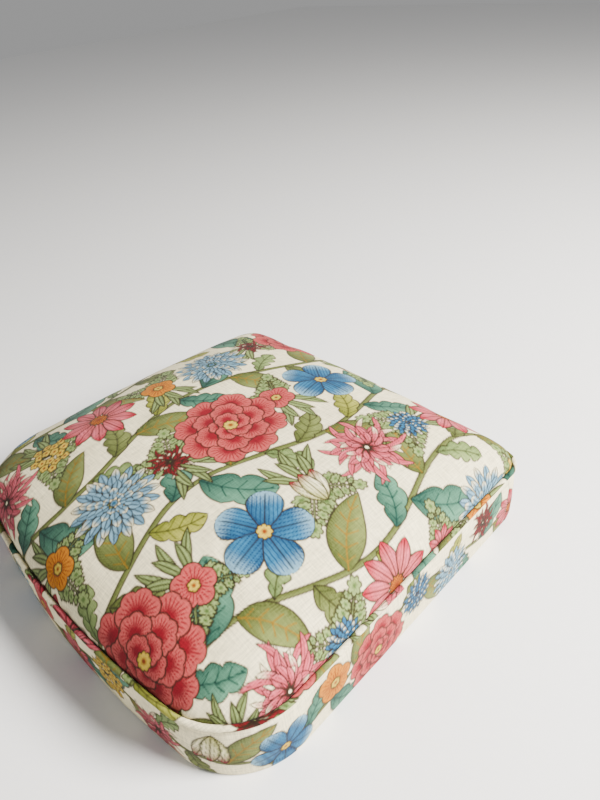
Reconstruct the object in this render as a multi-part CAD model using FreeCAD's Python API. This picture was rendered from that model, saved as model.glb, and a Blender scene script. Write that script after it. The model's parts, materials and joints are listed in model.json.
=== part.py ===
"""Upholstered seat pad for a small bedroom chair, in millimetres.

A webbed beech frame carries a crowned foam pad. The pad is wrapped in wadding and calico, and covered by a
sewn cap: a domed top panel, self piping and a border that is turned under the rails and stapled.
+Z is up, the front of the seat faces -Y, and the origin is the centre of the underside.
"""

import FreeCAD, Part
import math
import os

Vec = FreeCAD.Vector

# ---------------------------------------------------------------- driving dimensions
FRONT_WIDTH = 540.0  # across the front corners, at the piping line
REAR_WIDTH = 504.0
DEPTH = 508.0  # from the crown of the bowed front to the rear edge
FRONT_BOW = 30.0
FRONT_CORNER_R = 88.0
REAR_CORNER_R = 30.0

PIPING_Z = 84.0  # height of the piping's centre above the underside
CROWN = 78.0  # rise of the dome above the piping
DOME_POWER = 3.28  # how square the dome's shoulder is
PIPING_R = 4.0
PIPING_CORD_R = 2.4
PIPING_FLANGE = 14.0  # seam allowance of the piping's cover, behind the border
PIPING_FLANGE_T = 0.7
PIPING_FLANGE_LAP = 0.8  # how far the seam allowance reaches up into the round cover
PANEL_LAP = 2.0  # how far the top panel reaches below the piping's centre

COVER_T = 1.0
CALICO_T = 0.6
WADDING_T = 8.0
LAYER_GAP = 0.1

BOTTOM_CLOTH_T = 0.8
BORDER_T = 1.2
BORDER_TURN_IN = 26.0
BORDER_TURN_T = 1.0
EDGE_WADDING_T = 5.4

RAIL_INSET = 8.0  # the rails' outer face, inside the piping line
RAIL_THICK = 26.0
RAIL_Z = 2.0
RAIL_TOP = 66.0
FRONT_RAIL_BACK_Y = -200.0
FRONT_JOINT_Y = -165.0  # the front rail's deeper ends meet the side rails here
FRONT_RAIL_HOLLOW = 150.0  # half the width of the front rail's thinner middle

BLOCK_LEG = 78.0
BLOCK_Z = 6.0
BLOCK_H = 40.0

BOLT_SPACING_X = 400.0
BOLT_FRONT_Y = -141.0
BOLT_REAR_Y = 195.0
BOLT_CLEAR_R = 6.0  # hole in the bottom cloth
TNUT_BORE_R = 3.4  # tapping size of an M8 thread
TNUT_BARREL_R = 5.0
TNUT_BARREL_H = 11.0
TNUT_FLANGE_R = 11.0
TNUT_FLANGE_T = 1.5
TNUT_FIT = 0.1

DOWEL_R = 5.0
DOWEL_HALF = 22.0
DOWEL_REAR_REACH = 20.0  # into the rear rail, short of its outer face
DOWEL_FIT = 0.05
DOWEL_INWARD = 3.0  # off the middle of the rail, clear of the rounded corner
DOWEL_HEIGHTS = (18.0, 50.0)
SCREW_R = 2.2
SCREW_HEAD_R = 4.2
SCREW_LENGTH = 42.0
SCREW_COVER = 30.0  # thickness of block that each screw passes through
SCREW_SINK = 5.0
SCREW_STAGGER = 8.0  # above or below the block's middle, so that a corner's two screws miss each other

WEB_WIDTH = 50.0
WEB_T = 1.8
WEB_GAP = 0.2
WEB_RAMP_START = 3.0  # past a crossing strap's edge
WEB_LAP = 18.0  # how far each strap lies on its rail, and is folded back
WEB_LONG_X = (-174.0, -87.0, 0.0, 87.0, 174.0)
WEB_CROSS_Y = (-138.0, -61.5, 15.0, 91.5, 168.0)

HESSIAN_T = 0.8
STAPLE_CROWN = 10.0
STAPLE_WIRE = 0.6
STAPLE_WIDTH = 1.0
STAPLE_LEG = 9.0
WEB_STAPLE_SPOTS = ((-16.0, 6.0), (0.0, 12.0), (16.0, 6.0))  # across a strap, and in from the rail's edge
HESSIAN_INSET = 10.5
HESSIAN_STAPLE_INSET = 13.2
CLOTH_INSET = 11.0
CLOTH_STAPLE_INSET = 16.5
COVER_STAPLE_INSET = 22.5
HESSIAN_STAPLES = 44
COVER_STAPLES = 50
CLOTH_STAPLES = 56

# ---------------------------------------------------------------- derived places
REAR_Y = DEPTH / 2
FRONT_Y = -DEPTH / 2
FRONT_CORNER_Y = FRONT_Y + FRONT_BOW
REAR_RAIL_FRONT_Y = REAR_Y - RAIL_INSET - RAIL_THICK
BORDER_TOP = PIPING_Z - PIPING_R - 0.4
BORDER_Z = BOTTOM_CLOTH_T + LAYER_GAP
BORDER_SEAM_Y = REAR_Y - REAR_CORNER_R - 2
WEB_LOW = RAIL_TOP
WEB_HIGH = RAIL_TOP + WEB_T + WEB_GAP
HESSIAN_Z = RAIL_TOP + 2 * WEB_T + 0.3
FOAM_Z = HESSIAN_Z + HESSIAN_T + LAYER_GAP
DOME_INSET = PIPING_R + 0.3  # the top panel starts just inside the piping
EDGE_WADDING_TOP = PIPING_Z - PIPING_R - 1
FAR = 1000.0

DOME_STEPS = (1.0, 0.995, 0.985, 0.965, 0.93, 0.87, 0.79, 0.68, 0.54, 0.38, 0.22, 0.08)


# ---------------------------------------------------------------- plan outline
def sharp_outline():
    """The seat's plan before its corners are rounded: straight sides and rear, and a bowed front."""
    rear_left = Vec(-REAR_WIDTH / 2, REAR_Y, 0)
    rear_right = Vec(REAR_WIDTH / 2, REAR_Y, 0)
    front_right = Vec(FRONT_WIDTH / 2, FRONT_CORNER_Y, 0)
    front_left = Vec(-FRONT_WIDTH / 2, FRONT_CORNER_Y, 0)
    return Part.Wire(
        [
            Part.LineSegment(rear_left, rear_right).toShape(),
            Part.LineSegment(rear_right, front_right).toShape(),
            Part.Arc(front_right, Vec(0, FRONT_Y, 0), front_left).toShape(),
            Part.LineSegment(front_left, rear_left).toShape(),
        ]
    )


def rounded_outline():
    """The plan at the piping line, as one closed wire of lines and arcs at z = 0."""
    solid = Part.Face(sharp_outline()).extrude(Vec(0, 0, 10))
    upright = [e for e in solid.Edges if abs(e.BoundBox.ZLength - 10) < 0.01]
    front = [e for e in upright if e.CenterOfMass.y < 0]
    rear = [e for e in upright if e.CenterOfMass.y > 0]
    solid = solid.makeFillet(FRONT_CORNER_R, front)
    rear = [
        e
        for e in solid.Edges
        if abs(e.BoundBox.ZLength - 10) < 0.01 and e.CenterOfMass.y > REAR_Y - 1
    ]
    solid = solid.makeFillet(REAR_CORNER_R, rear)
    floor = [f for f in solid.Faces if f.BoundBox.ZMax < 0.01]
    return floor[0].OuterWire


OUTLINE = rounded_outline()


def outline(inset):
    """The plan outline, moved inwards by inset."""
    if abs(inset) < 1e-9:
        return OUTLINE
    return OUTLINE.makeOffset2D(-inset)


def prism(inset, low, high):
    """A solid of the seat's plan, between two heights."""
    solid = Part.Face(outline(inset)).extrude(Vec(0, 0, high - low))
    solid.translate(Vec(0, 0, low))
    return solid


def ring(outer_inset, inner_inset, low, high):
    """A closed band that follows the seat's plan."""
    return prism(outer_inset, low, high).cut(prism(inner_inset, low - 1, high + 1))


def slab(y_low, y_high):
    """A box over the whole width and height, between two places along Y."""
    return Part.makeBox(2 * FAR, y_high - y_low, 2 * FAR, Vec(-FAR, y_low, -FAR))


def save(shape, name):
    """Writes one sub-part's STEP file, and stops if any of its solids is broken."""
    solids = shape.Solids
    if not solids or not all(s.isValid() for s in solids):
        raise RuntimeError(f"{name} has a broken solid")
    kept = solids[0] if len(solids) == 1 else Part.makeCompound(solids)
    kept.exportStep(f"parts/{name}.step")
    print(name, len(solids), round(sum(s.Volume for s in solids)))


# ---------------------------------------------------------------- soft parts
def dome(depth, base_z):
    """The crowned pad's shape at a depth under the cover, standing on base_z."""
    inset_scale = 1 - (DOME_INSET + depth) / (FRONT_WIDTH / 2)
    rise = CROWN - depth
    wires = []
    for share in DOME_STEPS:
        scale = share * inset_scale
        height = PIPING_Z + rise * (1 - share**DOME_POWER) ** 0.5
        matrix = FreeCAD.Matrix()
        matrix.scale(scale, scale, 1)
        wire = OUTLINE.transformGeometry(matrix)
        wire.translate(Vec(0, 0, height))
        wires.append(wire)
    crown = Part.makeLoft(wires, True, False)
    wall = Part.Face(wires[0]).extrude(Vec(0, 0, base_z - PIPING_Z))
    return crown, wall


def dome_solid(depth, base_z):
    crown, wall = dome(depth, base_z)
    return crown.fuse(wall).removeSplitter()


def dome_shell(outer_depth, thickness, base_z):
    """A layer of even thickness over the pad, open below."""
    return dome_solid(outer_depth, base_z).cut(dome_solid(outer_depth + thickness, base_z - 1))


def build_covers():
    base = PIPING_Z - PANEL_LAP
    padding_base = EDGE_WADDING_TOP + LAYER_GAP
    calico_depth = COVER_T + LAYER_GAP
    wadding_depth = calico_depth + CALICO_T + LAYER_GAP
    foam_depth = wadding_depth + WADDING_T + LAYER_GAP
    save(dome_shell(0, COVER_T, base), "top_panel")
    save(dome_shell(calico_depth, CALICO_T, padding_base), "calico_undercover")
    save(dome_shell(wadding_depth, WADDING_T, padding_base), "wadding_wrap")
    save(dome_solid(foam_depth, FOAM_Z), "foam_pad")


def tube(radius):
    """A round bar along the piping line."""
    path = OUTLINE.copy()
    path.translate(Vec(0, 0, PIPING_Z))
    edge = path.Edges[0]
    start = edge.valueAt(edge.FirstParameter)
    section = Part.Wire(Part.makeCircle(radius, start, edge.tangentAt(edge.FirstParameter)))
    return path.makePipeShell([section], True, False)


def build_piping():
    cord = tube(PIPING_CORD_R)
    behind = BORDER_T + LAYER_GAP
    flange_top = PIPING_Z - PIPING_R + PIPING_FLANGE_LAP
    flange = ring(behind, behind + PIPING_FLANGE_T, flange_top - PIPING_FLANGE, flange_top)
    cover = tube(PIPING_R).fuse(flange).cut(tube(PIPING_CORD_R + LAYER_GAP))
    save(cord, "piping_cord")
    save(cover, "piping_cover")


def build_border(pockets):
    """The border, its turned-in lower edge, and the wadding behind it."""
    wall = ring(0, BORDER_T, BORDER_Z, BORDER_TOP)
    turned = ring(0, BORDER_TURN_IN, BORDER_Z, BORDER_Z + BORDER_TURN_T)
    band = wall.fuse(turned).removeSplitter().cut(pockets)
    save(band.common(slab(-FAR, BORDER_SEAM_Y)), "border_front_and_sides")
    save(band.common(slab(BORDER_SEAM_Y + 0.1, FAR)), "border_rear")
    behind = BORDER_T + PIPING_FLANGE_T + 2 * LAYER_GAP
    save(ring(behind, behind + EDGE_WADDING_T, RAIL_Z, EDGE_WADDING_TOP), "border_wadding")


# ---------------------------------------------------------------- timber frame
def side_rail_x(y):
    """The middle of a side rail's thickness at y."""
    share = (REAR_Y - y) / (REAR_Y - FRONT_CORNER_Y)
    half = REAR_WIDTH / 2 + (FRONT_WIDTH - REAR_WIDTH) / 2 * share
    return half - RAIL_INSET - RAIL_THICK / 2


def dowel_places():
    """Two dowels in each of the four butt joints: each one's front end, and its length."""
    made = []
    joints = ((FRONT_JOINT_Y, DOWEL_HALF), (REAR_RAIL_FRONT_Y, DOWEL_REAR_REACH))
    for side in (-1, 1):
        for joint_y, rear_reach in joints:
            x = side * (side_rail_x(joint_y) - DOWEL_INWARD)
            for height in DOWEL_HEIGHTS:
                made.append((Vec(x, joint_y - DOWEL_HALF, height), DOWEL_HALF + rear_reach))
    return made


def dowel_solids(growth):
    made = []
    for start, length in dowel_places():
        front = Vec(start.x, start.y - growth, start.z)
        made.append(Part.makeCylinder(DOWEL_R + growth, length + 2 * growth, front, Vec(0, 1, 0)))
    return Part.makeCompound(made)


def corner_block(side, end):
    """A triangular block in one inner corner; side is -1 or 1 along X, end is -1 for front and 1 for rear."""
    corner_y = FRONT_JOINT_Y if end < 0 else REAR_RAIL_FRONT_Y
    rail_x = side_rail_x(corner_y) - RAIL_THICK / 2
    leg_y = corner_y - end * BLOCK_LEG
    leg_x = side_rail_x(leg_y) - RAIL_THICK / 2
    points = [
        Vec(side * rail_x, corner_y, BLOCK_Z),
        Vec(side * leg_x, leg_y, BLOCK_Z),
        Vec(side * (rail_x - BLOCK_LEG), corner_y, BLOCK_Z),
    ]
    block = Part.Face(Part.makePolygon([*points, points[0]])).extrude(Vec(0, 0, BLOCK_H))
    return block.common(prism(RAIL_INSET + RAIL_THICK, BLOCK_Z, BLOCK_Z + BLOCK_H))


def wood_screw(head, direction):
    """A countersunk screw whose head's flat face is at head."""
    shank = Part.makeCylinder(SCREW_R, SCREW_LENGTH, head, direction)
    taper = Part.makeCone(SCREW_HEAD_R, SCREW_R, SCREW_HEAD_R - SCREW_R, head, direction)
    return shank.fuse(taper)


def block_screw_places():
    """Each block's two screws, as head and direction: one into the side rail, one into the end rail."""
    made = []
    middle = BLOCK_Z + BLOCK_H / 2
    far_leg = BLOCK_LEG - SCREW_COVER
    reach = SCREW_COVER - SCREW_SINK
    for side in (-1, 1):
        for end in (-1, 1):
            corner_y = FRONT_JOINT_Y if end < 0 else REAR_RAIL_FRONT_Y
            rail_x = side_rail_x(corner_y) - RAIL_THICK / 2
            side_head = Vec(side * (rail_x - reach), corner_y - end * far_leg, middle + SCREW_STAGGER)
            end_head = Vec(side * (rail_x - far_leg), corner_y - end * reach, middle - SCREW_STAGGER)
            made.append((side_head, Vec(side, 0, 0)))
            made.append((end_head, Vec(0, end, 0)))
    return made


def screw_pocket(head, direction):
    """The counterbore that lets a screw's head lie below the block's sloping face."""
    return Part.makeCylinder(SCREW_HEAD_R + 0.2, 3 * SCREW_SINK, head, direction * -1)


def bolt_places():
    return [
        (side * BOLT_SPACING_X / 2, y) for side in (-1, 1) for y in (BOLT_FRONT_Y, BOLT_REAR_Y)
    ]


def t_nut(x, y):
    """A flanged nut pressed into a block's top, tapped right through."""
    top = BLOCK_Z + BLOCK_H
    barrel = Part.makeCylinder(TNUT_BARREL_R, TNUT_BARREL_H, Vec(x, y, top - TNUT_BARREL_H))
    flange = Part.makeCylinder(TNUT_FLANGE_R, TNUT_FLANGE_T, Vec(x, y, top))
    bore = Part.makeCylinder(TNUT_BORE_R, BLOCK_H, Vec(x, y, top - BLOCK_H / 2))
    return barrel.fuse(flange).cut(bore).removeSplitter()


def rail_blanks():
    """The four rails before they are drilled."""
    plan = prism(RAIL_INSET, RAIL_Z, RAIL_TOP)
    hollow = Part.makeBox(
        2 * FRONT_RAIL_HOLLOW,
        FAR,
        FAR,
        Vec(-FRONT_RAIL_HOLLOW, FRONT_RAIL_BACK_Y, -FAR / 2),
    )
    rails = {
        "front_rail": plan.common(slab(-FAR, FRONT_JOINT_Y)).cut(hollow),
        "rear_rail": plan.common(slab(REAR_RAIL_FRONT_Y, FAR)),
    }
    band = ring(RAIL_INSET, RAIL_INSET + RAIL_THICK, RAIL_Z, RAIL_TOP)
    for solid in band.common(slab(FRONT_JOINT_Y, REAR_RAIL_FRONT_Y)).Solids:
        name = "left_rail" if solid.CenterOfMass.x < 0 else "right_rail"
        rails[name] = solid
    return rails


def build_frame(staple_groups):
    screws = Part.makeCompound([wood_screw(*place) for place in block_screw_places()])
    pockets = Part.makeCompound([screw_pocket(*place) for place in block_screw_places()])
    cutters = [dowel_solids(DOWEL_FIT), screws, *staple_groups]
    for name, rail in rail_blanks().items():
        save(rail.cut(cutters), name)

    bolt_holes = Part.makeCompound(
        [
            Part.makeCylinder(TNUT_BARREL_R + TNUT_FIT, BLOCK_H + 2, Vec(x, y, BLOCK_Z - 1))
            for x, y in bolt_places()
        ]
    )
    for end, end_name in ((-1, "front"), (1, "rear")):
        for side, side_name in ((-1, "left"), (1, "right")):
            block = corner_block(side, end).cut([screws, pockets, bolt_holes])
            save(block, f"corner_block_{end_name}_{side_name}")
    save(dowel_solids(0), "rail_dowels")
    save(screws, "corner_block_screws")
    save(Part.makeCompound([t_nut(x, y) for x, y in bolt_places()]), "t_nuts")


# ---------------------------------------------------------------- webbing
def strap_profile(start, end, crossings, first_high):
    """A strap's side outline as (along, z) points: folded double on both rails, over and under between."""
    levels = [(start, WEB_LOW), (start + WEB_LAP, WEB_LOW)]
    half = WEB_WIDTH / 2 + WEB_RAMP_START
    high = first_high
    for place in crossings:
        z = WEB_HIGH if high else WEB_LOW
        levels += [(place - half, z), (place + half, z)]
        high = not high
    levels += [(end - WEB_LAP, WEB_LOW), (end, WEB_LOW)]
    return levels + [(along, z + WEB_T) for along, z in reversed(levels)]


def strap_fold(start, end):
    """The two folded-back ends, as (low, high) places along the strap."""
    return ((start, start + WEB_LAP), (end - WEB_LAP, end))


def long_strap(x, index):
    start, end = FRONT_RAIL_BACK_Y - WEB_LAP, REAR_RAIL_FRONT_Y + WEB_LAP
    points = [
        Vec(x - WEB_WIDTH / 2, along, z)
        for along, z in strap_profile(start, end, WEB_CROSS_Y, index % 2 == 0)
    ]
    strap = Part.Face(Part.makePolygon([*points, points[0]])).extrude(Vec(WEB_WIDTH, 0, 0))
    for low, high in strap_fold(start, end):
        fold = Part.makeBox(WEB_WIDTH, high - low, WEB_T, Vec(x - WEB_WIDTH / 2, low, WEB_LOW + WEB_T))
        strap = strap.fuse(fold)
    return strap.removeSplitter()


def cross_strap(y, index):
    reach = side_rail_x(y) - RAIL_THICK / 2 + WEB_LAP
    points = [
        Vec(along, y - WEB_WIDTH / 2, z)
        for along, z in strap_profile(-reach, reach, WEB_LONG_X, index % 2 == 1)
    ]
    strap = Part.Face(Part.makePolygon([*points, points[0]])).extrude(Vec(0, WEB_WIDTH, 0))
    for low, high in strap_fold(-reach, reach):
        fold = Part.makeBox(high - low, WEB_WIDTH, WEB_T, Vec(low, y - WEB_WIDTH / 2, WEB_LOW + WEB_T))
        strap = strap.fuse(fold)
    return strap.removeSplitter()


# ---------------------------------------------------------------- staples
def staple(x, y, crown_z, along, leg_way):
    """A wire staple; along is the crown's direction in plan, and leg_way is 1 for legs up or -1 for down."""
    half = STAPLE_CROWN / 2
    crown = Part.makeBox(STAPLE_CROWN, STAPLE_WIDTH, STAPLE_WIRE, Vec(-half, -STAPLE_WIDTH / 2, 0))
    leg_z = 0 if leg_way > 0 else STAPLE_WIRE - STAPLE_LEG
    for leg_x in (-half, half - STAPLE_WIRE):
        leg = Part.makeBox(STAPLE_WIRE, STAPLE_WIDTH, STAPLE_LEG, Vec(leg_x, -STAPLE_WIDTH / 2, leg_z))
        crown = crown.fuse(leg)
    made = crown.removeSplitter()
    angle = math.degrees(math.atan2(along.y, along.x))
    made.rotate(Vec(0, 0, 0), Vec(0, 0, 1), angle)
    made.translate(Vec(x, y, crown_z))
    return made


def staples_round(inset, count, crown_z, leg_way):
    """Evenly spaced staples that follow the plan, each turned along the edge."""
    path = outline(inset)
    step = path.Length / count
    made = []
    for i in range(count):
        left = (i + 0.5) * step
        for edge in path.OrderedEdges:
            if left <= edge.Length:
                break
            left -= edge.Length
        share = left / edge.Length
        if edge.Orientation == "Reversed":
            share = 1 - share
        at = edge.FirstParameter + (edge.LastParameter - edge.FirstParameter) * share
        point, tangent = edge.valueAt(at), edge.tangentAt(at)
        made.append(staple(point.x, point.y, crown_z, tangent, leg_way))
    return Part.makeCompound(made)


def webbing_staples():
    """Three staples in a triangle through each folded strap end."""
    crown_z = WEB_LOW + 2 * WEB_T - STAPLE_WIRE
    made = []
    for across, inwards in WEB_STAPLE_SPOTS:
        for x in WEB_LONG_X:
            for edge_y, way in ((FRONT_RAIL_BACK_Y, -1), (REAR_RAIL_FRONT_Y, 1)):
                made.append(staple(x + across, edge_y + way * inwards, crown_z, Vec(1, 0, 0), -1))
        for y in WEB_CROSS_Y:
            edge_x = side_rail_x(y) - RAIL_THICK / 2
            for way in (-1, 1):
                made.append(staple(way * (edge_x + inwards), y + across, crown_z, Vec(0, 1, 0), -1))
    return Part.makeCompound(made)


def build_webbing(staples):
    for index, x in enumerate(WEB_LONG_X):
        save(long_strap(x, index).cut(staples), f"webbing_long_{index + 1}")
    for index, y in enumerate(WEB_CROSS_Y):
        save(cross_strap(y, index).cut(staples), f"webbing_cross_{index + 1}")


def build_hessian(staples):
    cloth = prism(HESSIAN_INSET, HESSIAN_Z, HESSIAN_Z + HESSIAN_T)
    save(cloth.cut(staples), "hessian_cloth")


def build_bottom_cloth(staples):
    """The dust cover under the rails, with its four bolt openings."""
    openings = [Part.makeCylinder(BOLT_CLEAR_R, 4, Vec(x, y, -1)) for x, y in bolt_places()]
    cloth = prism(CLOTH_INSET, 0, BOTTOM_CLOTH_T)
    save(cloth.cut([staples, *openings]), "bottom_cloth")


def main():
    os.makedirs("parts", exist_ok=True)
    hessian_crown = HESSIAN_Z + HESSIAN_T - STAPLE_WIRE
    staples = {
        "webbing_staples": webbing_staples(),
        "hessian_staples": staples_round(HESSIAN_STAPLE_INSET, HESSIAN_STAPLES, hessian_crown, -1),
        "cover_staples": staples_round(COVER_STAPLE_INSET, COVER_STAPLES, BORDER_Z + LAYER_GAP, 1),
        "bottom_cloth_staples": staples_round(CLOTH_STAPLE_INSET, CLOTH_STAPLES, LAYER_GAP, 1),
    }
    build_frame(staples.values())
    build_webbing(staples["webbing_staples"])
    build_hessian(staples["hessian_staples"])
    build_covers()
    build_piping()
    build_border([staples["cover_staples"], staples["bottom_cloth_staples"]])
    build_bottom_cloth(staples["bottom_cloth_staples"])
    for name, group in staples.items():
        save(group, name)


main()
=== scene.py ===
"""Looks of an upholstered seat pad: a domed, printed top panel, self piping, a border and a webbed frame."""

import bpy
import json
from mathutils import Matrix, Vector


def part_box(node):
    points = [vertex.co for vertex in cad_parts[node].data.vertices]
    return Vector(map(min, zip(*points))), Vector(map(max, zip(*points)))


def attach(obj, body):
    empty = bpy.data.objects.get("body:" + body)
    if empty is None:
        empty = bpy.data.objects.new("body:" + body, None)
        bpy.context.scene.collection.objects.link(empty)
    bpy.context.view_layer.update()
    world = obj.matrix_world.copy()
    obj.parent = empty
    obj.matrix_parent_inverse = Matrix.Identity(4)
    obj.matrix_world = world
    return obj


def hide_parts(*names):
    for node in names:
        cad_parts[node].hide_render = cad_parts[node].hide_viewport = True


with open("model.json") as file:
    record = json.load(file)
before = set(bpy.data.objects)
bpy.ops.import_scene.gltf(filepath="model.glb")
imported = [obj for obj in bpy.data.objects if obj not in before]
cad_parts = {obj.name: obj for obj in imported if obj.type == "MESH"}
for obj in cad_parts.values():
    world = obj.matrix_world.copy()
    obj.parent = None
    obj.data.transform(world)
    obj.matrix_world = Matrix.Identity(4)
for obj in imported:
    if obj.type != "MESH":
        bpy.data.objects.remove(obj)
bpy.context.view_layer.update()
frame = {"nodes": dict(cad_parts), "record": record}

import json
import math

import bmesh
import bpy
import numpy as np
from mathutils import Matrix, Vector

MM = 0.001

# ---------------------------------------------------------------- sizes, in metres
FRONT_WIDTH = 0.540  # across the front corners, before they are rounded
REAR_WIDTH = 0.504
FRONT_BOW = 0.030
FRONT_CORNER_R = 0.088
REAR_CORNER_R = 0.030
CORD_R = 0.0024
PIPING_R = 0.0033  # the cord and its cloth
DOME_INSET = 0.0035  # the top panel starts just inside the piping
DOME_POWER = 3.28  # how square the dome's shoulder is
CROWN_ROUNDNESS = 2.3  # level lines near the crown: 2 would be an ellipse
CALICO_DEPTH = 0.0032
CALICO_T = 0.0006
WADDING_DEPTH = 0.0040
WADDING_T = 0.008
FOAM_DEPTH = 0.0122
BORDER_BULGE = 0.0022
BORDER_T = 0.001

SIM_RINGS = 60  # the simulated mesh's rings, from the crown to the piping
SUBDIVISIONS = 2
SWELL_CAP = 0.006
BORDER_STEP = 0.0014  # spacing of the border's points
SEED = 7

cord_low, cord_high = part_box("piping_cord")
PIPING_Z = (cord_low[2] + cord_high[2]) / 2
FRONT_Y = cord_low[1] + CORD_R
REAR_Y = cord_high[1] - CORD_R
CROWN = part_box("top_panel")[1][2] - PIPING_Z
HALF_WIDTH = cord_high[0] - CORD_R


# ---------------------------------------------------------------- plan of the seat
def arc(centre, radius, start, end, step=0.0005):
    count = max(int(abs(end - start) * radius / step), 8)
    turns = np.linspace(start, end, count, endpoint=False)
    return centre + radius * np.stack([np.cos(turns), np.sin(turns)], 1)


def straight(start, end, step=0.0005):
    count = max(int(np.hypot(*(end - start)) / step), 2)
    shares = np.linspace(0, 1, count, endpoint=False)[:, None]
    return start + (end - start) * shares


def plan_outline():
    """The piping line, anticlockwise from the front: points, normals, arc lengths and corner centres."""
    bow_r = ((FRONT_WIDTH / 2) ** 2 + FRONT_BOW**2) / (2 * FRONT_BOW)
    bow_centre = np.array([0, FRONT_Y + bow_r])
    front_corner = np.array([FRONT_WIDTH / 2, FRONT_Y + FRONT_BOW])
    rear_corner = np.array([REAR_WIDTH / 2, REAR_Y])
    along = (rear_corner - front_corner) / np.hypot(*(rear_corner - front_corner))
    outward = np.array([along[1], -along[0]])

    # the front corner's centre is on the side's inner parallel, and that much inside the bow
    start = front_corner - outward * FRONT_CORNER_R
    back = (start - bow_centre) @ along
    apart = (start - bow_centre) @ (start - bow_centre) - (bow_r - FRONT_CORNER_R) ** 2
    roots = np.array([-back - math.sqrt(back**2 - apart), -back + math.sqrt(back**2 - apart)])
    front_centre = start + along * roots[np.abs(roots).argmin()]
    start = rear_corner - outward * REAR_CORNER_R
    rear_centre = start + along * (REAR_Y - REAR_CORNER_R - start[1]) / along[1]

    bow_turn = math.atan2(*(front_centre - bow_centre)[::-1])
    side_turn = math.atan2(outward[1], outward[0])
    rear_start = np.array([rear_centre[0], REAR_Y])
    rear_middle = np.array([0, REAR_Y])
    side_start = front_centre + outward * FRONT_CORNER_R
    side_end = rear_centre + outward * REAR_CORNER_R
    right = np.concatenate(
        [
            arc(bow_centre, bow_r, -math.pi / 2, bow_turn),
            arc(front_centre, FRONT_CORNER_R, bow_turn, side_turn),
            straight(side_start, side_end),
            arc(rear_centre, REAR_CORNER_R, side_turn, math.pi / 2),
            straight(rear_start, rear_middle),
            [rear_middle],
        ]
    )
    left = (right * [-1, 1])[::-1][1:-1]
    points = np.concatenate([right, left])
    tangents = np.roll(points, -1, 0) - np.roll(points, 1, 0)
    tangents /= np.linalg.norm(tangents, axis=1)[:, None]
    normals = np.stack([tangents[:, 1], -tangents[:, 0]], 1)
    gaps = np.linalg.norm(np.roll(points, -1, 0) - points, axis=1)
    lengths = np.concatenate([[0], np.cumsum(gaps)])
    corners = [front_centre, rear_centre]
    return points, normals, lengths, corners


OUTLINE, OUTWARD, LENGTHS, CORNER_CENTRES = plan_outline()
PERIMETER = LENGTHS[-1]


def on_outline(places):
    """Points and outward normals at arc lengths along the piping line."""
    places = np.mod(places, PERIMETER)
    closed = np.concatenate([OUTLINE, OUTLINE[:1]])
    closed_normals = np.concatenate([OUTWARD, OUTWARD[:1]])
    points = np.stack([np.interp(places, LENGTHS, closed[:, i]) for i in (0, 1)], 1)
    normals = np.stack([np.interp(places, LENGTHS, closed_normals[:, i]) for i in (0, 1)], 1)
    return points, normals / np.linalg.norm(normals, axis=1)[:, None]


def corner_places():
    """Arc lengths of the middles of the four rounded corners, anticlockwise from the front right."""
    front, rear = CORNER_CENTRES
    front_way = np.array([1, -1]) / math.sqrt(2)
    rear_way = np.array([1, 1]) / math.sqrt(2)
    places = []
    for centre, way, radius in ((front, front_way, FRONT_CORNER_R), (rear, rear_way, REAR_CORNER_R)):
        target = centre + way * radius
        places.append(LENGTHS[np.linalg.norm(OUTLINE - target, axis=1).argmin()])
    return [places[0], places[1], PERIMETER - places[1], PERIMETER - places[0]]


# ---------------------------------------------------------------- the dome
def smooth_noise(x, y, pitch, seed, waves=14):
    """Gentle unevenness of about one, whose bumps are pitch apart."""
    made = np.random.default_rng(seed)
    total = np.zeros_like(x)
    for _ in range(waves):
        turn = made.uniform(0, 2 * math.pi)
        size = made.uniform(0.7, 1.4) * pitch
        phase = made.uniform(0, 2 * math.pi)
        total += np.sin((x * math.cos(turn) + y * math.sin(turn)) * 2 * math.pi / size + phase)
    return total / math.sqrt(waves / 2)


def dome_profile():
    """Shares of the plan from crown to edge, each with its rise and its distance along the cloth."""
    share = np.linspace(0, 1, 4001)
    rise = CROWN * np.sqrt(np.clip(1 - share**DOME_POWER, 0, None))
    cloth = np.concatenate([[0], np.cumsum(np.hypot(np.diff(share) * HALF_WIDTH, np.diff(rise)))])
    return share, rise, cloth


def ring_grid(rings):
    """A square grid bent into rings round the crown: each point's ring and place along the piping line."""
    i, j = np.meshgrid(np.arange(-rings, rings + 1), np.arange(-rings, rings + 1), indexing="ij")
    ring = np.maximum(np.abs(i), np.abs(j))
    safe = np.maximum(ring, 1)
    right = (i == ring) & (j > -ring)
    rear = (j == ring) & (i < ring)
    left = (i == -ring) & (j < ring) & ~rear
    quarter = np.where(right, 0, np.where(rear, 1, np.where(left, 2, 3)))
    travel = np.where(right, j, np.where(rear, -i, np.where(left, -j, i)))
    share = (travel / safe + 1) / 2
    starts = corner_places()
    ends = [*starts[1:], starts[0] + PERIMETER]
    place = np.choose(quarter, starts) + share * (np.choose(quarter, ends) - np.choose(quarter, starts))
    return ring, place


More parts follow.
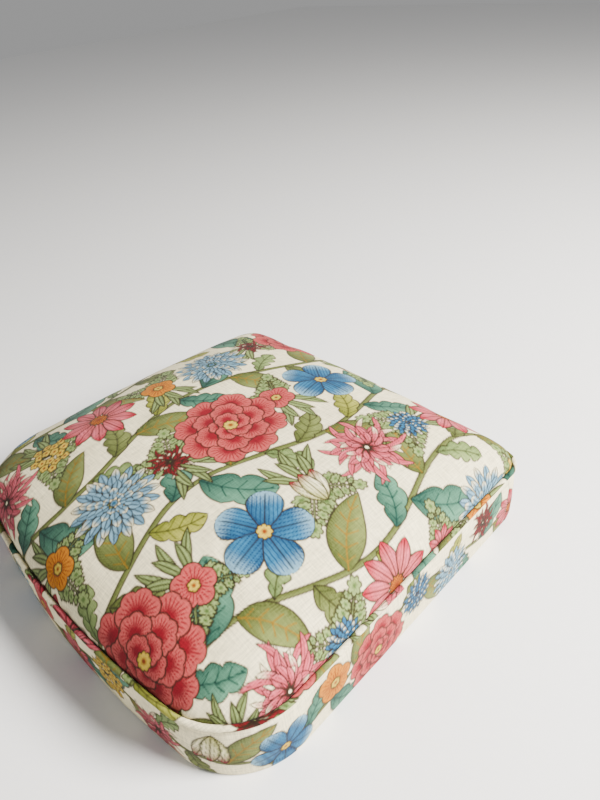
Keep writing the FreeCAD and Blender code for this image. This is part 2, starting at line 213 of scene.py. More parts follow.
def dome_surface(rings, depth=0.0):
    """The pad's surface at a depth under the cover: points, and where each lies on the flat cloth."""
    ring, place = ring_grid(rings)
    share, rise, cloth = dome_profile()
    spread = cloth[-1] * ring.ravel() / rings
    part = np.interp(spread, cloth, share)
    height = np.interp(spread, cloth, rise) * (CROWN - depth) / CROWN
    edge, outward = on_outline(place.ravel())
    edge = edge - outward * (DOME_INSET + depth)
    turn = np.arctan2(edge[:, 1], edge[:, 0])
    n = CROWN_ROUNDNESS
    reach_x, reach_y = HALF_WIDTH - DOME_INSET - depth, (REAR_Y - FRONT_Y) / 2 - DOME_INSET - depth
    reach = ((np.abs(np.cos(turn)) / reach_x) ** n + (np.abs(np.sin(turn)) / reach_y) ** n) ** (-1 / n)
    crown_ring = np.stack([np.cos(turn), np.sin(turn)], 1) * reach[:, None]
    weight = (part**2)[:, None]
    plan = part[:, None] * ((1 - weight) * crown_ring + weight * edge)
    flat = plan + outward * (spread - HALF_WIDTH * part)[:, None]
    points = np.column_stack([plan, PIPING_Z + height])
    return points, flat


def grid_faces(rows, columns):
    """Quads of a grid whose points are stored row by row."""
    r, c = np.meshgrid(np.arange(rows - 1), np.arange(columns - 1), indexing="ij")
    start = r * columns + c
    corners = [start, start + 1, start + columns + 1, start + columns]
    return np.stack([k.ravel() for k in corners], 1)


def rim_of_grid(rings):
    """Indices of the outermost ring of a ring grid, anticlockwise from the front right corner."""
    side = 2 * rings + 1
    last = side - 1
    right = [last * side + j for j in range(0, last)]
    rear = [i * side + last for i in range(last, 0, -1)]
    left = [j for j in range(last, 0, -1)]
    front = [i * side for i in range(0, last)]
    return np.array(right + rear + left + front)


# ---------------------------------------------------------------- making objects
def new_object(name, points, faces, more_faces=()):
    mesh = bpy.data.meshes.new(name)
    mesh.from_pydata(np.asarray(points).tolist(), [], [*np.asarray(faces).tolist(), *more_faces])
    mesh.validate()
    mesh.update()
    made = bpy.data.objects.new(name, mesh)
    bpy.context.scene.collection.objects.link(made)
    mesh.shade_smooth()
    return made


def coordinates(mesh):
    flat = np.empty(len(mesh.vertices) * 3, np.float32)
    mesh.vertices.foreach_get("co", flat)
    return flat.reshape(-1, 3).astype(float)


def set_coordinates(mesh, points):
    mesh.vertices.foreach_set("co", np.asarray(points, np.float32).ravel())
    mesh.update()


def normals_of(mesh):
    flat = np.empty(len(mesh.vertices) * 3, np.float32)
    mesh.vertex_normals.foreach_get("vector", flat)
    return flat.reshape(-1, 3).astype(float)


def set_attribute(mesh, name, values):
    """A colour for three values a point, and a vector for two."""
    count = len(mesh.vertices)
    if values.shape[1] == 2:
        layer = mesh.attributes.new(name, "FLOAT_VECTOR", "POINT")
        places = np.column_stack([values, np.zeros(count)]).astype(np.float32)
        layer.data.foreach_set("vector", places.ravel())
        return
    layer = mesh.attributes.new(name, "FLOAT_COLOR", "POINT")
    colours = np.column_stack([values, np.ones(count)]).astype(np.float32)
    layer.data.foreach_set("color", colours.ravel())


def vector_attribute(mesh, name):
    flat = np.empty(len(mesh.vertices) * 3, np.float32)
    mesh.attributes[name].data.foreach_get("vector", flat)
    return flat.reshape(-1, 3)[:, :2].astype(float)


def applied(made):
    """Turns an object's modifiers into plain mesh."""
    bpy.context.view_layer.update()
    ready = made.evaluated_get(bpy.context.evaluated_depsgraph_get())
    mesh = bpy.data.meshes.new_from_object(ready)
    old = made.data
    made.modifiers.clear()
    if made.type == "MESH":
        made.data = mesh
        bpy.data.meshes.remove(old)
        return made
    plain = bpy.data.objects.new(made.name + "_mesh", mesh)
    bpy.context.scene.collection.objects.link(plain)
    name = made.name
    bpy.data.objects.remove(made)
    plain.name = name
    return plain


# ---------------------------------------------------------------- printed cloth
DYE_STRENGTH = 0.66
DYE_DEPTH = 2.8
DYE_RICHNESS = 1.12
DARKEST = 0.002
LIGHTEST = 0.9


def dye(red, green, blue):
    """A dye given in 0 to 255, as it looks on the cloth; on cloth it is deeper than as paint."""
    level = DYE_STRENGTH * (np.array([red, green, blue]) / 255) ** DYE_DEPTH
    grey = level.mean()
    return np.clip(grey + (level - grey) * DYE_RICHNESS, DARKEST, LIGHTEST)


GROUND = np.array([0.74, 0.67, 0.43])
INK = dye(62, 52, 40)
SAGE, SAGE_DARK = dye(164, 180, 128), dye(110, 130, 84)
OLIVE, OLIVE_DARK = dye(146, 154, 104), dye(98, 106, 62)
TEAL, TEAL_DARK = dye(118, 160, 138), dye(40, 84, 78)
LIME, LIME_DARK = dye(186, 186, 110), dye(130, 138, 66)
CORAL, CRIMSON = dye(204, 114, 112), dye(150, 50, 64)
PINK, ROSE = dye(228, 136, 146), dye(192, 66, 86)
SKY, SKY_DARK = dye(156, 190, 208), dye(74, 116, 142)
BLUE, NAVY = dye(84, 138, 172), dye(30, 70, 108)
MUSTARD, RUST = dye(214, 150, 40), dye(150, 82, 18)
YELLOW, YELLOW_DARK = dye(222, 196, 108), dye(160, 128, 52)
WHITE = GROUND * 1.04

SHARPNESS = 1.1  # width of a printed edge, in millimetres
LINE = 0.9  # half-width of an ink line
HATCH_PITCH = 3.3


def blend(first, second, weight):
    return first + np.clip(weight, 0, 1)[:, None] * (second - first)


class Cloth:
    """Cloth laid flat, in millimetres, and the colour of each of its points."""

    def __init__(self, flat):
        self.flat = flat
        self.colour = np.tile(GROUND, (len(flat), 1))

    def near(self, centre, reach):
        return np.flatnonzero((np.abs(self.flat - centre) < reach).all(1))

    def print(self, where, distance, colours, outline=LINE, ink=INK):
        """Prints colours inside a shape's edge, where distance is negative, and inks the edge."""
        cover = np.clip(0.5 - distance / SHARPNESS, 0, 1)
        self.colour[where] = blend(self.colour[where], colours, cover)
        if outline:
            line = np.clip((outline + SHARPNESS / 2 - np.abs(distance)) / SHARPNESS, 0, 1)
            self.colour[where] = blend(self.colour[where], ink, 0.95 * line)


def blade(cloth, start, end, width, colour, shade, bend=0.0, peak=0.5, lobes=0, notch=0.35, streaks=0,
          ribs=0, vein=None, tip=None, blunt=0.75, outline=LINE, stripe=None):
    """A leaf, petal or stem along a bent spine; bend is the bow as a share of its length."""
    start, end = np.array(start, float), np.array(end, float)
    run = end - start
    length = float(np.hypot(*run))
    knee = (start + end) / 2 + 2 * bend * np.array([-run[1], run[0]])
    where = cloth.near((start + end) / 2 + (knee - (start + end) / 2) / 2, length * 0.6 + width)
    if not len(where):
        return
    points = cloth.flat[where]
    steps = np.linspace(0, 1, 33)[:, None]
    spine = (1 - steps) ** 2 * start + 2 * steps * (1 - steps) * knee + steps**2 * end
    ways = 2 * (1 - steps) * (knee - start) + 2 * steps * (end - knee)
    speed = np.linalg.norm(ways, axis=1)
    ways = ways / speed[:, None]
    nearest = ((points[:, None, :] - spine[None]) ** 2).sum(2).argmin(1)
    away = points - spine[nearest]
    forward = (away * ways[nearest]).sum(1)
    side = ways[nearest, 0] * away[:, 1] - ways[nearest, 1] * away[:, 0]
    share = steps[nearest, 0] + forward / speed[nearest]
    beyond = np.maximum(np.maximum(-share, share - 1), 0) * length
    share = np.clip(share, 0, 1)
    half = width / 2 * np.sin(math.pi * share ** (math.log(0.5) / math.log(peak))) ** blunt
    if lobes:
        half = half * (1 - notch * (1 - np.abs(np.sin(math.pi * lobes * share)) ** 0.6))
    distance = np.hypot(np.maximum(np.abs(side) - half, 0), beyond)
    distance = np.where(distance > 0, distance, np.abs(side) - half)
    across = np.abs(side) / np.maximum(half, 0.5)

    colours = blend(np.tile(colour, (len(where), 1)), shade, 0.85 - share * 1.9)
    fold = np.clip(1 - across * 2.2, 0, 1) * (side < 0)
    far_side = (0.30 + 0.35 * np.clip(across * 2 - 1, 0, 1)) * (side > 0)
    colours = blend(colours, shade, far_side + 0.5 * fold)
    if tip is not None:
        colours = blend(colours, tip, (share - 0.62) * 3.2 + 0.15 * np.sin(side * 2.2))
    if streaks:
        lines = np.clip(np.cos(2 * math.pi * streaks * side / width) * 3 - 1.7, 0, 1)
        line_colour = stripe if stripe is not None else blend(colours, INK, np.full(len(where), 0.6))
        colours = blend(colours, line_colour, 0.85 * lines * (share < 0.88))
    if ribs:
        phase = np.mod(share * ribs - across * 0.9, 1)
        gap = np.abs(phase - 0.5) * length / ribs * 0.7
        line = np.clip(1.15 - gap, 0, 1) * (across < (0.86 if vein is None else 0.62))
        colours = blend(colours, vein if vein is not None else shade * 0.5, 0.85 * line)
    if width > 13:
        strokes = np.cos(2 * math.pi * (share * length - across * width * 0.35) / HATCH_PITCH)
        dark = np.clip(across * 1.8 - 0.8, 0, 1) * (side > 0) + np.clip(0.5 - share, 0, 1)
        dark = np.clip(strokes * 2 - 0.5, 0, 1) * np.clip(dark, 0, 1)
        colours = blend(colours, shade * 0.55, 0.75 * dark)
    if width > 9:
        middle = np.clip(1.3 - np.abs(side), 0, 1) * (share < 0.94)
        colours = blend(colours, vein if vein is not None else INK, 0.8 * middle)
    cloth.print(where, distance, colours, outline)


def stem(cloth, points, width, colour, shade, outline=LINE * 0.85):
    """A stem through a few points, as one smooth band."""
    points = np.array(points, float)
    places = np.concatenate([[0], np.cumsum(np.hypot(*np.diff(points, axis=0).T))])
    fine = np.linspace(0, places[-1], int(places[-1] / 2) + 2)
    slopes = np.gradient(points, places, axis=0)
    spans = np.clip(np.searchsorted(places, fine, side="right") - 1, 0, len(points) - 2)
    size = places[spans + 1] - places[spans]
    t = ((fine - places[spans]) / size)[:, None]
    path = (
        (2 * t**3 - 3 * t**2 + 1) * points[spans]
        + (t**3 - 2 * t**2 + t) * size[:, None] * slopes[spans]
        + (-2 * t**3 + 3 * t**2) * points[spans + 1]
        + (t**3 - t**2) * size[:, None] * slopes[spans + 1]
    )
    middle = (path.min(0) + path.max(0)) / 2
    where = cloth.near(middle, (path.max(0) - path.min(0)) / 2 + width)
    if not len(where):
        return
    spots = cloth.flat[where]
    ways = np.gradient(path, axis=0)
    ways /= np.linalg.norm(ways, axis=1)[:, None]
    distance = np.full(len(spots), 1e3)
    side = np.zeros(len(spots))
    for centre, way in zip(path, ways):
        away = spots - centre
        close = np.flatnonzero(np.abs(away).max(1) < width + 3)
        gap = np.hypot(away[close, 0], away[close, 1])
        better = close[gap < distance[close]]
        distance[better] = np.hypot(away[better, 0], away[better, 1])
        side[better] = way[0] * away[better, 1] - way[1] * away[better, 0]
    close = np.flatnonzero(distance < width + 3)
    tone = 0.5 + side[close] / width
    colours = blend(np.tile(colour, (len(close), 1)), shade, tone)
    lines = np.clip(np.cos(side[close] * 2 * math.pi / max(width / 3, 1.8)) * 2 - 1.2, 0, 1)
    colours = blend(colours, INK, 0.25 * lines)
    cloth.print(where[close], distance[close] - width / 2, colours, outline)


def blob(cloth, centre, radius, colour, shade, petals=5, notch=0.16, turn=0.0, squash=1.0, streaks=0,
         core=None, hatch=0.0, outline=LINE):
    """A round, scalloped shape; core is the share of it that is shaded at the middle."""
    centre = np.array(centre, float)
    where = cloth.near(centre, radius * 1.1 + 2)
    if not len(where):
        return
    away = cloth.flat[where] - centre
    x = away[:, 0] * math.cos(turn) + away[:, 1] * math.sin(turn)
    y = (away[:, 1] * math.cos(turn) - away[:, 0] * math.sin(turn)) / squash
    distance_out, angle = np.hypot(x, y), np.arctan2(y, x)
    edge = radius * (1 - notch * (1 - np.abs(np.sin(petals * angle / 2)) ** 0.7))
    share = distance_out / edge
    colours = np.tile(colour, (len(where), 1))
    if core is not None:
        colours = blend(colours, shade, (core - share) * 3)
    if streaks:
        lines = np.clip(np.cos(streaks * angle) * 3 - 1.2, 0, 1)
        colours = blend(colours, shade, 0.9 * lines * np.clip((0.92 - share) * 5, 0, 1))
    if hatch:
        grid = np.minimum(np.abs(np.mod(x + y, hatch) - hatch / 2), np.abs(np.mod(x - y, hatch) - hatch / 2))
        colours = blend(colours, shade, np.clip(1.35 - grid, 0, 1))
    cloth.print(where, (distance_out - edge) * min(squash, 1), colours, outline)


def around(centre, radius, turn):
    return (centre[0] + radius * math.cos(turn), centre[1] + radius * math.sin(turn))


# ---------------------------------------------------------------- motifs, in millimetres on the flat cloth
def full_bloom(cloth, centre, size, turn=0.0):
    """A many-petalled bloom: three rings of ruffled petals round a golden eye."""
    for ring, (spread, radius, count) in enumerate(((0.64, 0.40, 8), (0.40, 0.32, 6), (0.18, 0.23, 5))):
        for index in range(count):
            way = turn + ring * 0.45 + index * 2 * math.pi / count
            blob(cloth, around(centre, size * spread, way), size * radius, CORAL, CRIMSON, petals=7, turn=way,
                 core=0.62, streaks=26, notch=0.15)
    blob(cloth, centre, size * 0.14, YELLOW, RUST, petals=9, turn=turn, core=0.5, notch=0.2)


def dahlia(cloth, centre, size, colour=SKY, shade=SKY_DARK, turn=0.0):
    """Rings of pointed petals, laid from the outside in."""
    for ring, (reach, count) in enumerate(((1.0, 18), (0.82, 16), (0.63, 13), (0.44, 10), (0.26, 7))):
        for index in range(count):
            way = turn + ring * 0.21 + index * 2 * math.pi / count
            root = around(centre, size * reach * 0.42, way)
            blade(cloth, root, around(centre, size * reach, way), size * 0.21, colour, shade,
                  peak=0.62, blunt=0.7, tip=WHITE * 0.9 if index % 2 else None, outline=LINE * 0.8)
    blob(cloth, centre, size * 0.09, colour, shade, petals=5, core=0.8)


def star_flower(cloth, centre, size, turn=0.0):
    """Ten pointed pink petals round a golden eye."""
    for index in range(10):
        way = turn + index * math.pi / 5
        blade(cloth, around(centre, size * 0.15, way), around(centre, size, way), size * 0.40, PINK, CORAL,
              peak=0.56, streaks=5, tip=ROSE, blunt=0.8)
    blob(cloth, centre, size * 0.24, MUSTARD, RUST, petals=12, turn=turn, core=0.5, notch=0.2, hatch=3.4)


def feathered_bloom(cloth, centre, size, colour=PINK, shade=ROSE, turn=0.0, petals=30):
    """A shaggy bloom of narrow curling petals."""
    for ring, reach in enumerate((1.0, 0.74, 0.48)):
        count = petals - 7 * ring
        for index in range(count):
            way = turn + ring * 0.4 + index * 2 * math.pi / count
            length = size * reach * (0.82 + 0.2 * math.sin(7 * way + 2 * ring))
            blade(cloth, around(centre, size * 0.06, way), around(centre, length, way + 0.22), size * 0.13,
                  colour, shade, bend=0.16 * (-1) ** index, peak=0.66, streaks=2, outline=LINE * 0.7,
                  tip=WHITE if (index + ring) % 4 == 0 else None)


def wide_flower(cloth, centre, size, turn=0.0):
    """Five broad blue petals with darker streaks, round a yellow eye."""
    for index in range(5):
        way = turn + index * 2 * math.pi / 5
        blade(cloth, centre, around(centre, size, way), size * 0.76, BLUE, NAVY, peak=0.66, blunt=0.5,
              streaks=9, tip=SKY, stripe=NAVY)
    blob(cloth, centre, size * 0.17, YELLOW, RUST, petals=8, turn=turn, core=0.5, notch=0.25)


def tulip(cloth, centre, size, turn=0.0):
    """A cream tulip with crimson tips: two outer petals, and one in front of them."""
    root = around(centre, -size * 0.8, turn)
    for lean in (-0.34, 0.34, 0.0):
        blade(cloth, root, around(root, size * 1.7, turn + lean), size * 0.72, WHITE, LIME, peak=0.5,
              streaks=5, stripe=OLIVE, tip=CRIMSON, blunt=0.7)


def round_flower(cloth, centre, size, turn=0.0, colour=CORAL, shade=CRIMSON):
    """A small five-lobed flower with a golden eye."""
    blob(cloth, centre, size, colour, shade, petals=5, turn=turn, core=0.5, streaks=22, notch=0.24)
    blob(cloth, centre, size * 0.28, YELLOW, RUST, petals=6, turn=turn, core=0.5, notch=0.2)


def floret_cluster(cloth, centre, size, turn=0.0, count=16):
    """Small yellow florets set in a spiral."""
    for index in range(count):
        spot = around(centre, size * math.sqrt((count - index) / count), turn + index * GOLDEN_ANGLE)
        blob(cloth, spot, size * 0.27, YELLOW, YELLOW_DARK, petals=5, turn=index, core=0.42, notch=0.3)
        blob(cloth, spot, size * 0.07, RUST, RUST, petals=1, notch=0, outline=0)


def grass_tuft(cloth, root, length, turn, blades=6):
    """Narrow blades that fan out from one root."""
    for index in range(blades):
        way = turn + (index - (blades - 1) / 2) * 0.27
        reach = length * (1 - 0.18 * (index % 2))
        blade(cloth, root, around(root, reach, way), length * 0.17, SAGE, OLIVE_DARK,
              bend=0.06 * (-1) ** index, peak=0.6, streaks=3, blunt=0.9)


def ruffled_leaf(cloth, root, tip, width):
    """A pale leaf with a ruffled edge."""
    blade(cloth, root, tip, width, SAGE, SAGE_DARK, bend=0.08, peak=0.6, lobes=4, notch=0.5, blunt=0.6,
          ribs=4)


def veined_leaf(cloth, root, tip, width):
    """A broad olive leaf with golden veins."""
    blade(cloth, root, tip, width, OLIVE, OLIVE_DARK, bend=0.08, peak=0.42, ribs=6, vein=YELLOW_DARK,
          blunt=0.85)


def lobed_leaf(cloth, root, tip, width, lobes=2, colour=TEAL, shade=TEAL_DARK):
    """A leaf with a few round lobes to each side."""
    blade(cloth, root, tip, width, colour, shade, bend=-0.1, peak=0.52, lobes=lobes, notch=0.32, ribs=5,
          vein=TEAL_DARK * 0.6 if colour is TEAL else None, blunt=0.62)


def fern_sprig(cloth, root, tip, size, pairs=4):
    """A pale sprig of small ruffled leaflets, in pairs along a stem."""
    root, tip = np.array(root, float), np.array(tip, float)
    stem(cloth, [root, (root + tip) / 2, tip], 2.6, SAGE, OLIVE_DARK, outline=LINE * 0.6)
    run = (tip - root) / np.hypot(*(tip - root))
    across = np.array([-run[1], run[0]])
    turn = math.atan2(run[1], run[0])
    for index in range(pairs):
        spot = root + (tip - root) * (0.25 + 0.7 * index / pairs)
        reach = size * (1 - 0.16 * index)
        for way in (-1, 1):
            leaflet = spot + across * way * reach * 0.62 + run * reach * 0.25
            blob(cloth, leaflet, reach * 0.56, SAGE, SAGE_DARK, petals=7, notch=0.34, turn=turn + way,
                 squash=0.66, core=0.5)
    blob(cloth, tip, size * 0.5, SAGE, SAGE_DARK, petals=7, notch=0.34, turn=turn, squash=0.8, core=0.5)


# ---------------------------------------------------------------- layout of the print
GOLDEN_ANGLE = 2.4
PRINT_REACH = 345.0  # how far the panel's print goes from its middle
COLUMN_PITCH = 146.0  # from one column of blooms to the next
ROW_PITCH = 162.0
SCATTER = 9.0  # how far a bloom strays from its place in the repeat
VINE_STEP = 38.0  # from one leaf to the next along a vine
VINE_SWAY = 22.0
VINE_WAVE = 58.0
LEAF_ANGLE = 0.85  # between a leaf and its vine
BORDER_PITCH = 66.0
BORDER_SWAY = 14.0
BLOOM_OFFSET = 12.0  # how far the border's blooms are above or below its middle
BORDER_LEAVES, BORDER_BLOOMS, BORDER_SMALL_BLOOMS = 0.72, 0.66, 0.95  # sizes, as shares of the panel's
BORDER_MIDDLE = 42.0  # height of the border's vine above the underside

LEAVES = (  # each with its length and width
    (lobed_leaf, 88, 48, {}),
    (veined_leaf, 80, 38, {}),
    (ruffled_leaf, 60, 31, {}),
    (lobed_leaf, 62, 34, {"lobes": 3, "colour": OLIVE, "shade": OLIVE_DARK}),
    (veined_leaf, 90, 42, {}),
    (lobed_leaf, 62, 32, {"lobes": 3, "colour": LIME, "shade": LIME_DARK}),
    (lobed_leaf, 66, 36, {"lobes": 3}),
)
BLOOMS = (
    (full_bloom, 66, {}),
    (dahlia, 52, {}),
    (star_flower, 50, {}),
    (feathered_bloom, 56, {}),
    (wide_flower, 52, {}),
)
SMALL_BLOOMS = (
    (round_flower, 24, {}),
    (floret_cluster, 25, {}),
    (tulip, 27, {}),
    (round_flower, 24, {"colour": MUSTARD, "shade": RUST}),
    (dahlia, 27, {"colour": BLUE, "shade": NAVY}),
    (feathered_bloom, 30, {"colour": CRIMSON, "shade": dye(104, 24, 42), "petals": 24}),
    (star_flower, 27, {}),
)


def bloom(cloth, kinds, index, centre, turn, scale=1.0):
    """Prints one of several kinds of bloom."""
    motif, size, looks = kinds[index % len(kinds)]
    motif(cloth, centre, size * scale, turn=turn, **looks)


def vine(cloth, points, first, scale=1.0):
    """A stem with a leaf at each of its points, to one side and the other in turn."""
    stem(cloth, points, 6.5 * scale, OLIVE, OLIVE_DARK)
    for index in range(1, len(points) - 1):
        run = np.subtract(points[index + 1], points[index - 1])
        way = math.atan2(run[1], run[0]) + LEAF_ANGLE * (-1) ** index
        leaf, length, width, looks = LEAVES[(first + index) % len(LEAVES)]
        leaf(cloth, points[index], around(points[index], length * scale, way), width * scale, **looks)


def print_panel(cloth):
    """The top panel's print: swaying vines, and between them blooms in a half-drop repeat."""
    scatter = np.random.default_rng(SEED)
    columns = range(-3, 4)
    heights = np.arange(-PRINT_REACH, PRINT_REACH, VINE_STEP)
    for column in columns:
        middle = (column + 0.5) * COLUMN_PITCH
        path = [(middle + VINE_SWAY * math.sin(y / VINE_WAVE + 1.7 * column), y) for y in heights]
        vine(cloth, path, 3 * column)
    places = [(column, 2 * row + column % 2) for column in columns for row in columns]
    for column, half_row in places:
        gap = (column * COLUMN_PITCH, (half_row + 1) * ROW_PITCH / 2)
        turn = scatter.uniform(0, 2 * math.pi)
        grass_tuft(cloth, gap, 66, turn)
        fern_sprig(cloth, gap, around(gap, 54, turn + 2.4), 21)
        fern_sprig(cloth, gap, around(gap, 50, turn - 2.2), 18)
        bloom(cloth, SMALL_BLOOMS, 3 * column + half_row, gap, turn)
    for column, half_row in places:
        centre = np.array([column * COLUMN_PITCH, half_row * ROW_PITCH / 2])
        centre += scatter.uniform(-SCATTER, SCATTER, 2)
        bloom(cloth, BLOOMS, column + 2 * half_row, centre, scatter.uniform(0, 2 * math.pi))


def print_border(cloth, offset=0.0):
    """The border's print: one vine along its length, with blooms above and below it in turn."""
    length = PERIMETER / MM
    turns = 2 * math.pi * round(length / (2 * math.pi * VINE_WAVE))
    shares = np.linspace(-0.5, 0.5, round(length / VINE_STEP) + 1)
    path = [(s * length + offset, BORDER_MIDDLE + BORDER_SWAY * math.sin(turns * s)) for s in shares]
    vine(cloth, path, 0, scale=BORDER_LEAVES)
    for index, share in enumerate(np.arange(-0.5, 0.5, 1 / round(length / BORDER_PITCH))):
        centre = (share * length + offset, BORDER_MIDDLE + BLOOM_OFFSET * (-1) ** index)
        kinds, scale = (BLOOMS, BORDER_BLOOMS) if index % 2 else (SMALL_BLOOMS, BORDER_SMALL_BLOOMS)
        bloom(cloth, kinds, index // 2, centre, 1.3 * index, scale)


# ---------------------------------------------------------------- shader groups
def plug(tree, made, name, value):
    socket = made.inputs[name]
    if isinstance(value, bpy.types.NodeSocket):
        tree.links.new(value, socket)
    else:
        socket.default_value = value


def maths(tree, operation, first, second=None, third=None, clamp=False):
    made = tree.nodes.new("ShaderNodeMath")
    made.operation = operation
    made.use_clamp = clamp
    for socket, value in zip(made.inputs, (first, second, third)):
        if isinstance(value, bpy.types.NodeSocket):
            tree.links.new(value, socket)
        elif value is not None:
            socket.default_value = value
    return made.outputs[0]


def mixed(tree, weight, first, second, blend_type="MIX"):
    """A mix of two colours."""
    made = tree.nodes.new("ShaderNodeMix")
    made.data_type = "RGBA"
    made.blend_type = blend_type
    sockets = [s for s in made.inputs if s.enabled]
    for socket, value in zip(sockets, (weight, first, second)):
        if isinstance(value, bpy.types.NodeSocket):
            tree.links.new(value, socket)
        elif isinstance(value, (int, float)):
            socket.default_value = value
        else:
            socket.default_value = (*value, 1)
    return next(s for s in made.outputs if s.enabled)


def noise(tree, vector, scale, detail=3.0, roughness=0.5, distortion=0.0):
    made = tree.nodes.new("ShaderNodeTexNoise")
    tree.links.new(vector, made.inputs["Vector"])
    made.inputs["Scale"].default_value = scale
    made.inputs["Detail"].default_value = detail
    made.inputs["Roughness"].default_value = roughness
    made.inputs["Distortion"].default_value = distortion
    return made.outputs[0]


def stretched(tree, vector, scale, turn=(0, 0, 0)):
    made = tree.nodes.new("ShaderNodeMapping")
    tree.links.new(vector, made.inputs["Vector"])
    made.inputs["Scale"].default_value = scale
    made.inputs["Rotation"].default_value = turn
    return made.outputs[0]


def new_group(name, inputs, outputs):
    tree = bpy.data.node_groups.new(name, "ShaderNodeTree")
    for label, kind, value in inputs:
        socket = tree.interface.new_socket(label, in_out="INPUT", socket_type=kind)
        if value is not None:
            socket.default_value = value
    for label, kind in outputs:
        tree.interface.new_socket(label, in_out="OUTPUT", socket_type=kind)
    return tree, tree.nodes.new("NodeGroupInput"), tree.nodes.new("NodeGroupOutput")


def weave_group():
    """Plain weave: threads go over and under each other, and vary in thickness along their length. Its Shade
    output is painted shade: the thread on top lighter, the one beneath darker, with the slubs' uneven tone.
    """
    tree, given, result = new_group(
        "plain_weave",
        [
            ("Vector", "NodeSocketVector", None),
            ("Pitch", "NodeSocketFloat", 1.0),
            ("Slub", "NodeSocketFloat", 0.2),
        ],
        [("Height", "NodeSocketFloat"), ("Shade", "NodeSocketFloat")],
    )
    scale = tree.nodes.new("ShaderNodeVectorMath")
    scale.operation = "DIVIDE"
    tree.links.new(given.outputs["Vector"], scale.inputs[0])
    tree.links.new(given.outputs["Pitch"], scale.inputs[1])
    axes = tree.nodes.new("ShaderNodeSeparateXYZ")
    tree.links.new(scale.outputs[0], axes.inputs[0])
    waves = [maths(tree, "SINE", maths(tree, "MULTIPLY", axes.outputs[i], math.pi)) for i in (0, 1)]
    over = maths(tree, "GREATER_THAN", maths(tree, "MULTIPLY", waves[0], waves[1]), 0.0)
    warp, weft = [maths(tree, "ABSOLUTE", wave) for wave in waves]
    lift = maths(tree, "MULTIPLY_ADD", maths(tree, "SUBTRACT", weft, warp), over, warp)
    slubs = [
        noise(tree, stretched(tree, scale.outputs[0], long), 1.0, 2)
        for long in ((0.06, 0.9, 1), (0.9, 0.06, 1))
    ]
    uneven = maths(tree, "SUBTRACT", maths(tree, "ADD", *slubs), 1.0)
    uneven = maths(tree, "MULTIPLY", uneven, given.outputs["Slub"])
    # painted shade: brightness follows how high each thread lies, plus the slubs' uneven tone
    shade = maths(tree, "ADD", maths(tree, "MULTIPLY_ADD", lift, 0.20, 0.84), uneven)
    tree.links.new(maths(tree, "ADD", lift, uneven), result.inputs["Height"])
    tree.links.new(shade, result.inputs["Shade"])
    return tree


def fibre_group():
    """Loose fibres and clouds, for wadding, felted cloth and raw timber."""
    tree, given, result = new_group(
        "fibres",
        [("Vector", "NodeSocketVector", None), ("Scale", "NodeSocketFloat", 200.0)],
        [("Height", "NodeSocketFloat"), ("Cloud", "NodeSocketFloat")],
    )
    fine = tree.nodes.new("ShaderNodeTexNoise")
    tree.links.new(given.outputs["Vector"], fine.inputs["Vector"])
    tree.links.new(given.outputs["Scale"], fine.inputs["Scale"])
    fine.inputs["Detail"].default_value = 6
    fine.inputs["Distortion"].default_value = 2.5
    cloud = tree.nodes.new("ShaderNodeTexNoise")
    tree.links.new(given.outputs["Vector"], cloud.inputs["Vector"])
    tree.links.new(maths(tree, "MULTIPLY", given.outputs["Scale"], 0.08), cloud.inputs["Scale"])
    tree.links.new(fine.outputs[0], result.inputs["Height"])
    tree.links.new(cloud.outputs[0], result.inputs["Cloud"])
    return tree


def wear_group():
    """Fine scratches and dull patches on metal."""
    tree, given, result = new_group(
        "metal_wear",
        [("Vector", "NodeSocketVector", None)],
        [("Dullness", "NodeSocketFloat"), ("Height", "NodeSocketFloat")],
    )
    scratches = noise(tree, stretched(tree, given.outputs["Vector"], (2600, 300, 300)), 1.0, 4)
    patches = noise(tree, given.outputs["Vector"], 260, 3)
    dull = maths(tree, "MULTIPLY_ADD", patches, 0.35, maths(tree, "MULTIPLY_ADD", scratches, 0.16, 0.10))
    tree.links.new(dull, result.inputs["Dullness"])
    tree.links.new(scratches, result.inputs["Height"])
    return tree


WEAVE = weave_group()
FIBRES = fibre_group()
WEAR = wear_group()


# ---------------------------------------------------------------- materials
THREAD_HEIGHT = 0.00012


def new_material(name, roughness=0.9, **settings):
    """A material with its shader, whose plain settings sit on the shader's own sockets."""
    made = bpy.data.materials.new(name)
    made.use_nodes = True
    tree = made.node_tree
    shader = tree.nodes["Principled BSDF"]
    shader.inputs["Roughness"].default_value = roughness
    for label, value in settings.items():
        shader.inputs[label.replace("_", " ")].default_value = value
    return made, tree, shader


def place_group(tree, group, **values):
    made = tree.nodes.new("ShaderNodeGroup")
    made.node_tree = group
    for label, value in values.items():
        plug(tree, made, label, value)
    return made


def bump(tree, shader, height, distance, strength=0.6):
    made = tree.nodes.new("ShaderNodeBump")
    made.inputs["Strength"].default_value = strength
    made.inputs["Distance"].default_value = distance
    tree.links.new(height, made.inputs["Height"])
    tree.links.new(made.outputs["Normal"], shader.inputs["Normal"])


def tinted(tree, colour, shade):
    """A colour made lighter or darker by a shade of about one."""
    grey = tree.nodes.new("ShaderNodeCombineColor")
    for socket in grey.inputs:
        tree.links.new(shade, socket)
    return mixed(tree, 1.0, colour, grey.outputs[0], "MULTIPLY")


def object_place(tree):
    return tree.nodes.new("ShaderNodeTexCoord").outputs["Object"]


def attribute(tree, name, output):
    made = tree.nodes.new("ShaderNodeAttribute")
    made.attribute_name = name
    return made.outputs[output]


def dress(tree, shader, colour, roughness):
    """Feeds the shader its colour and its roughness."""
    tree.links.new(colour, shader.inputs["Base Color"])
    tree.links.new(roughness, shader.inputs["Roughness"])


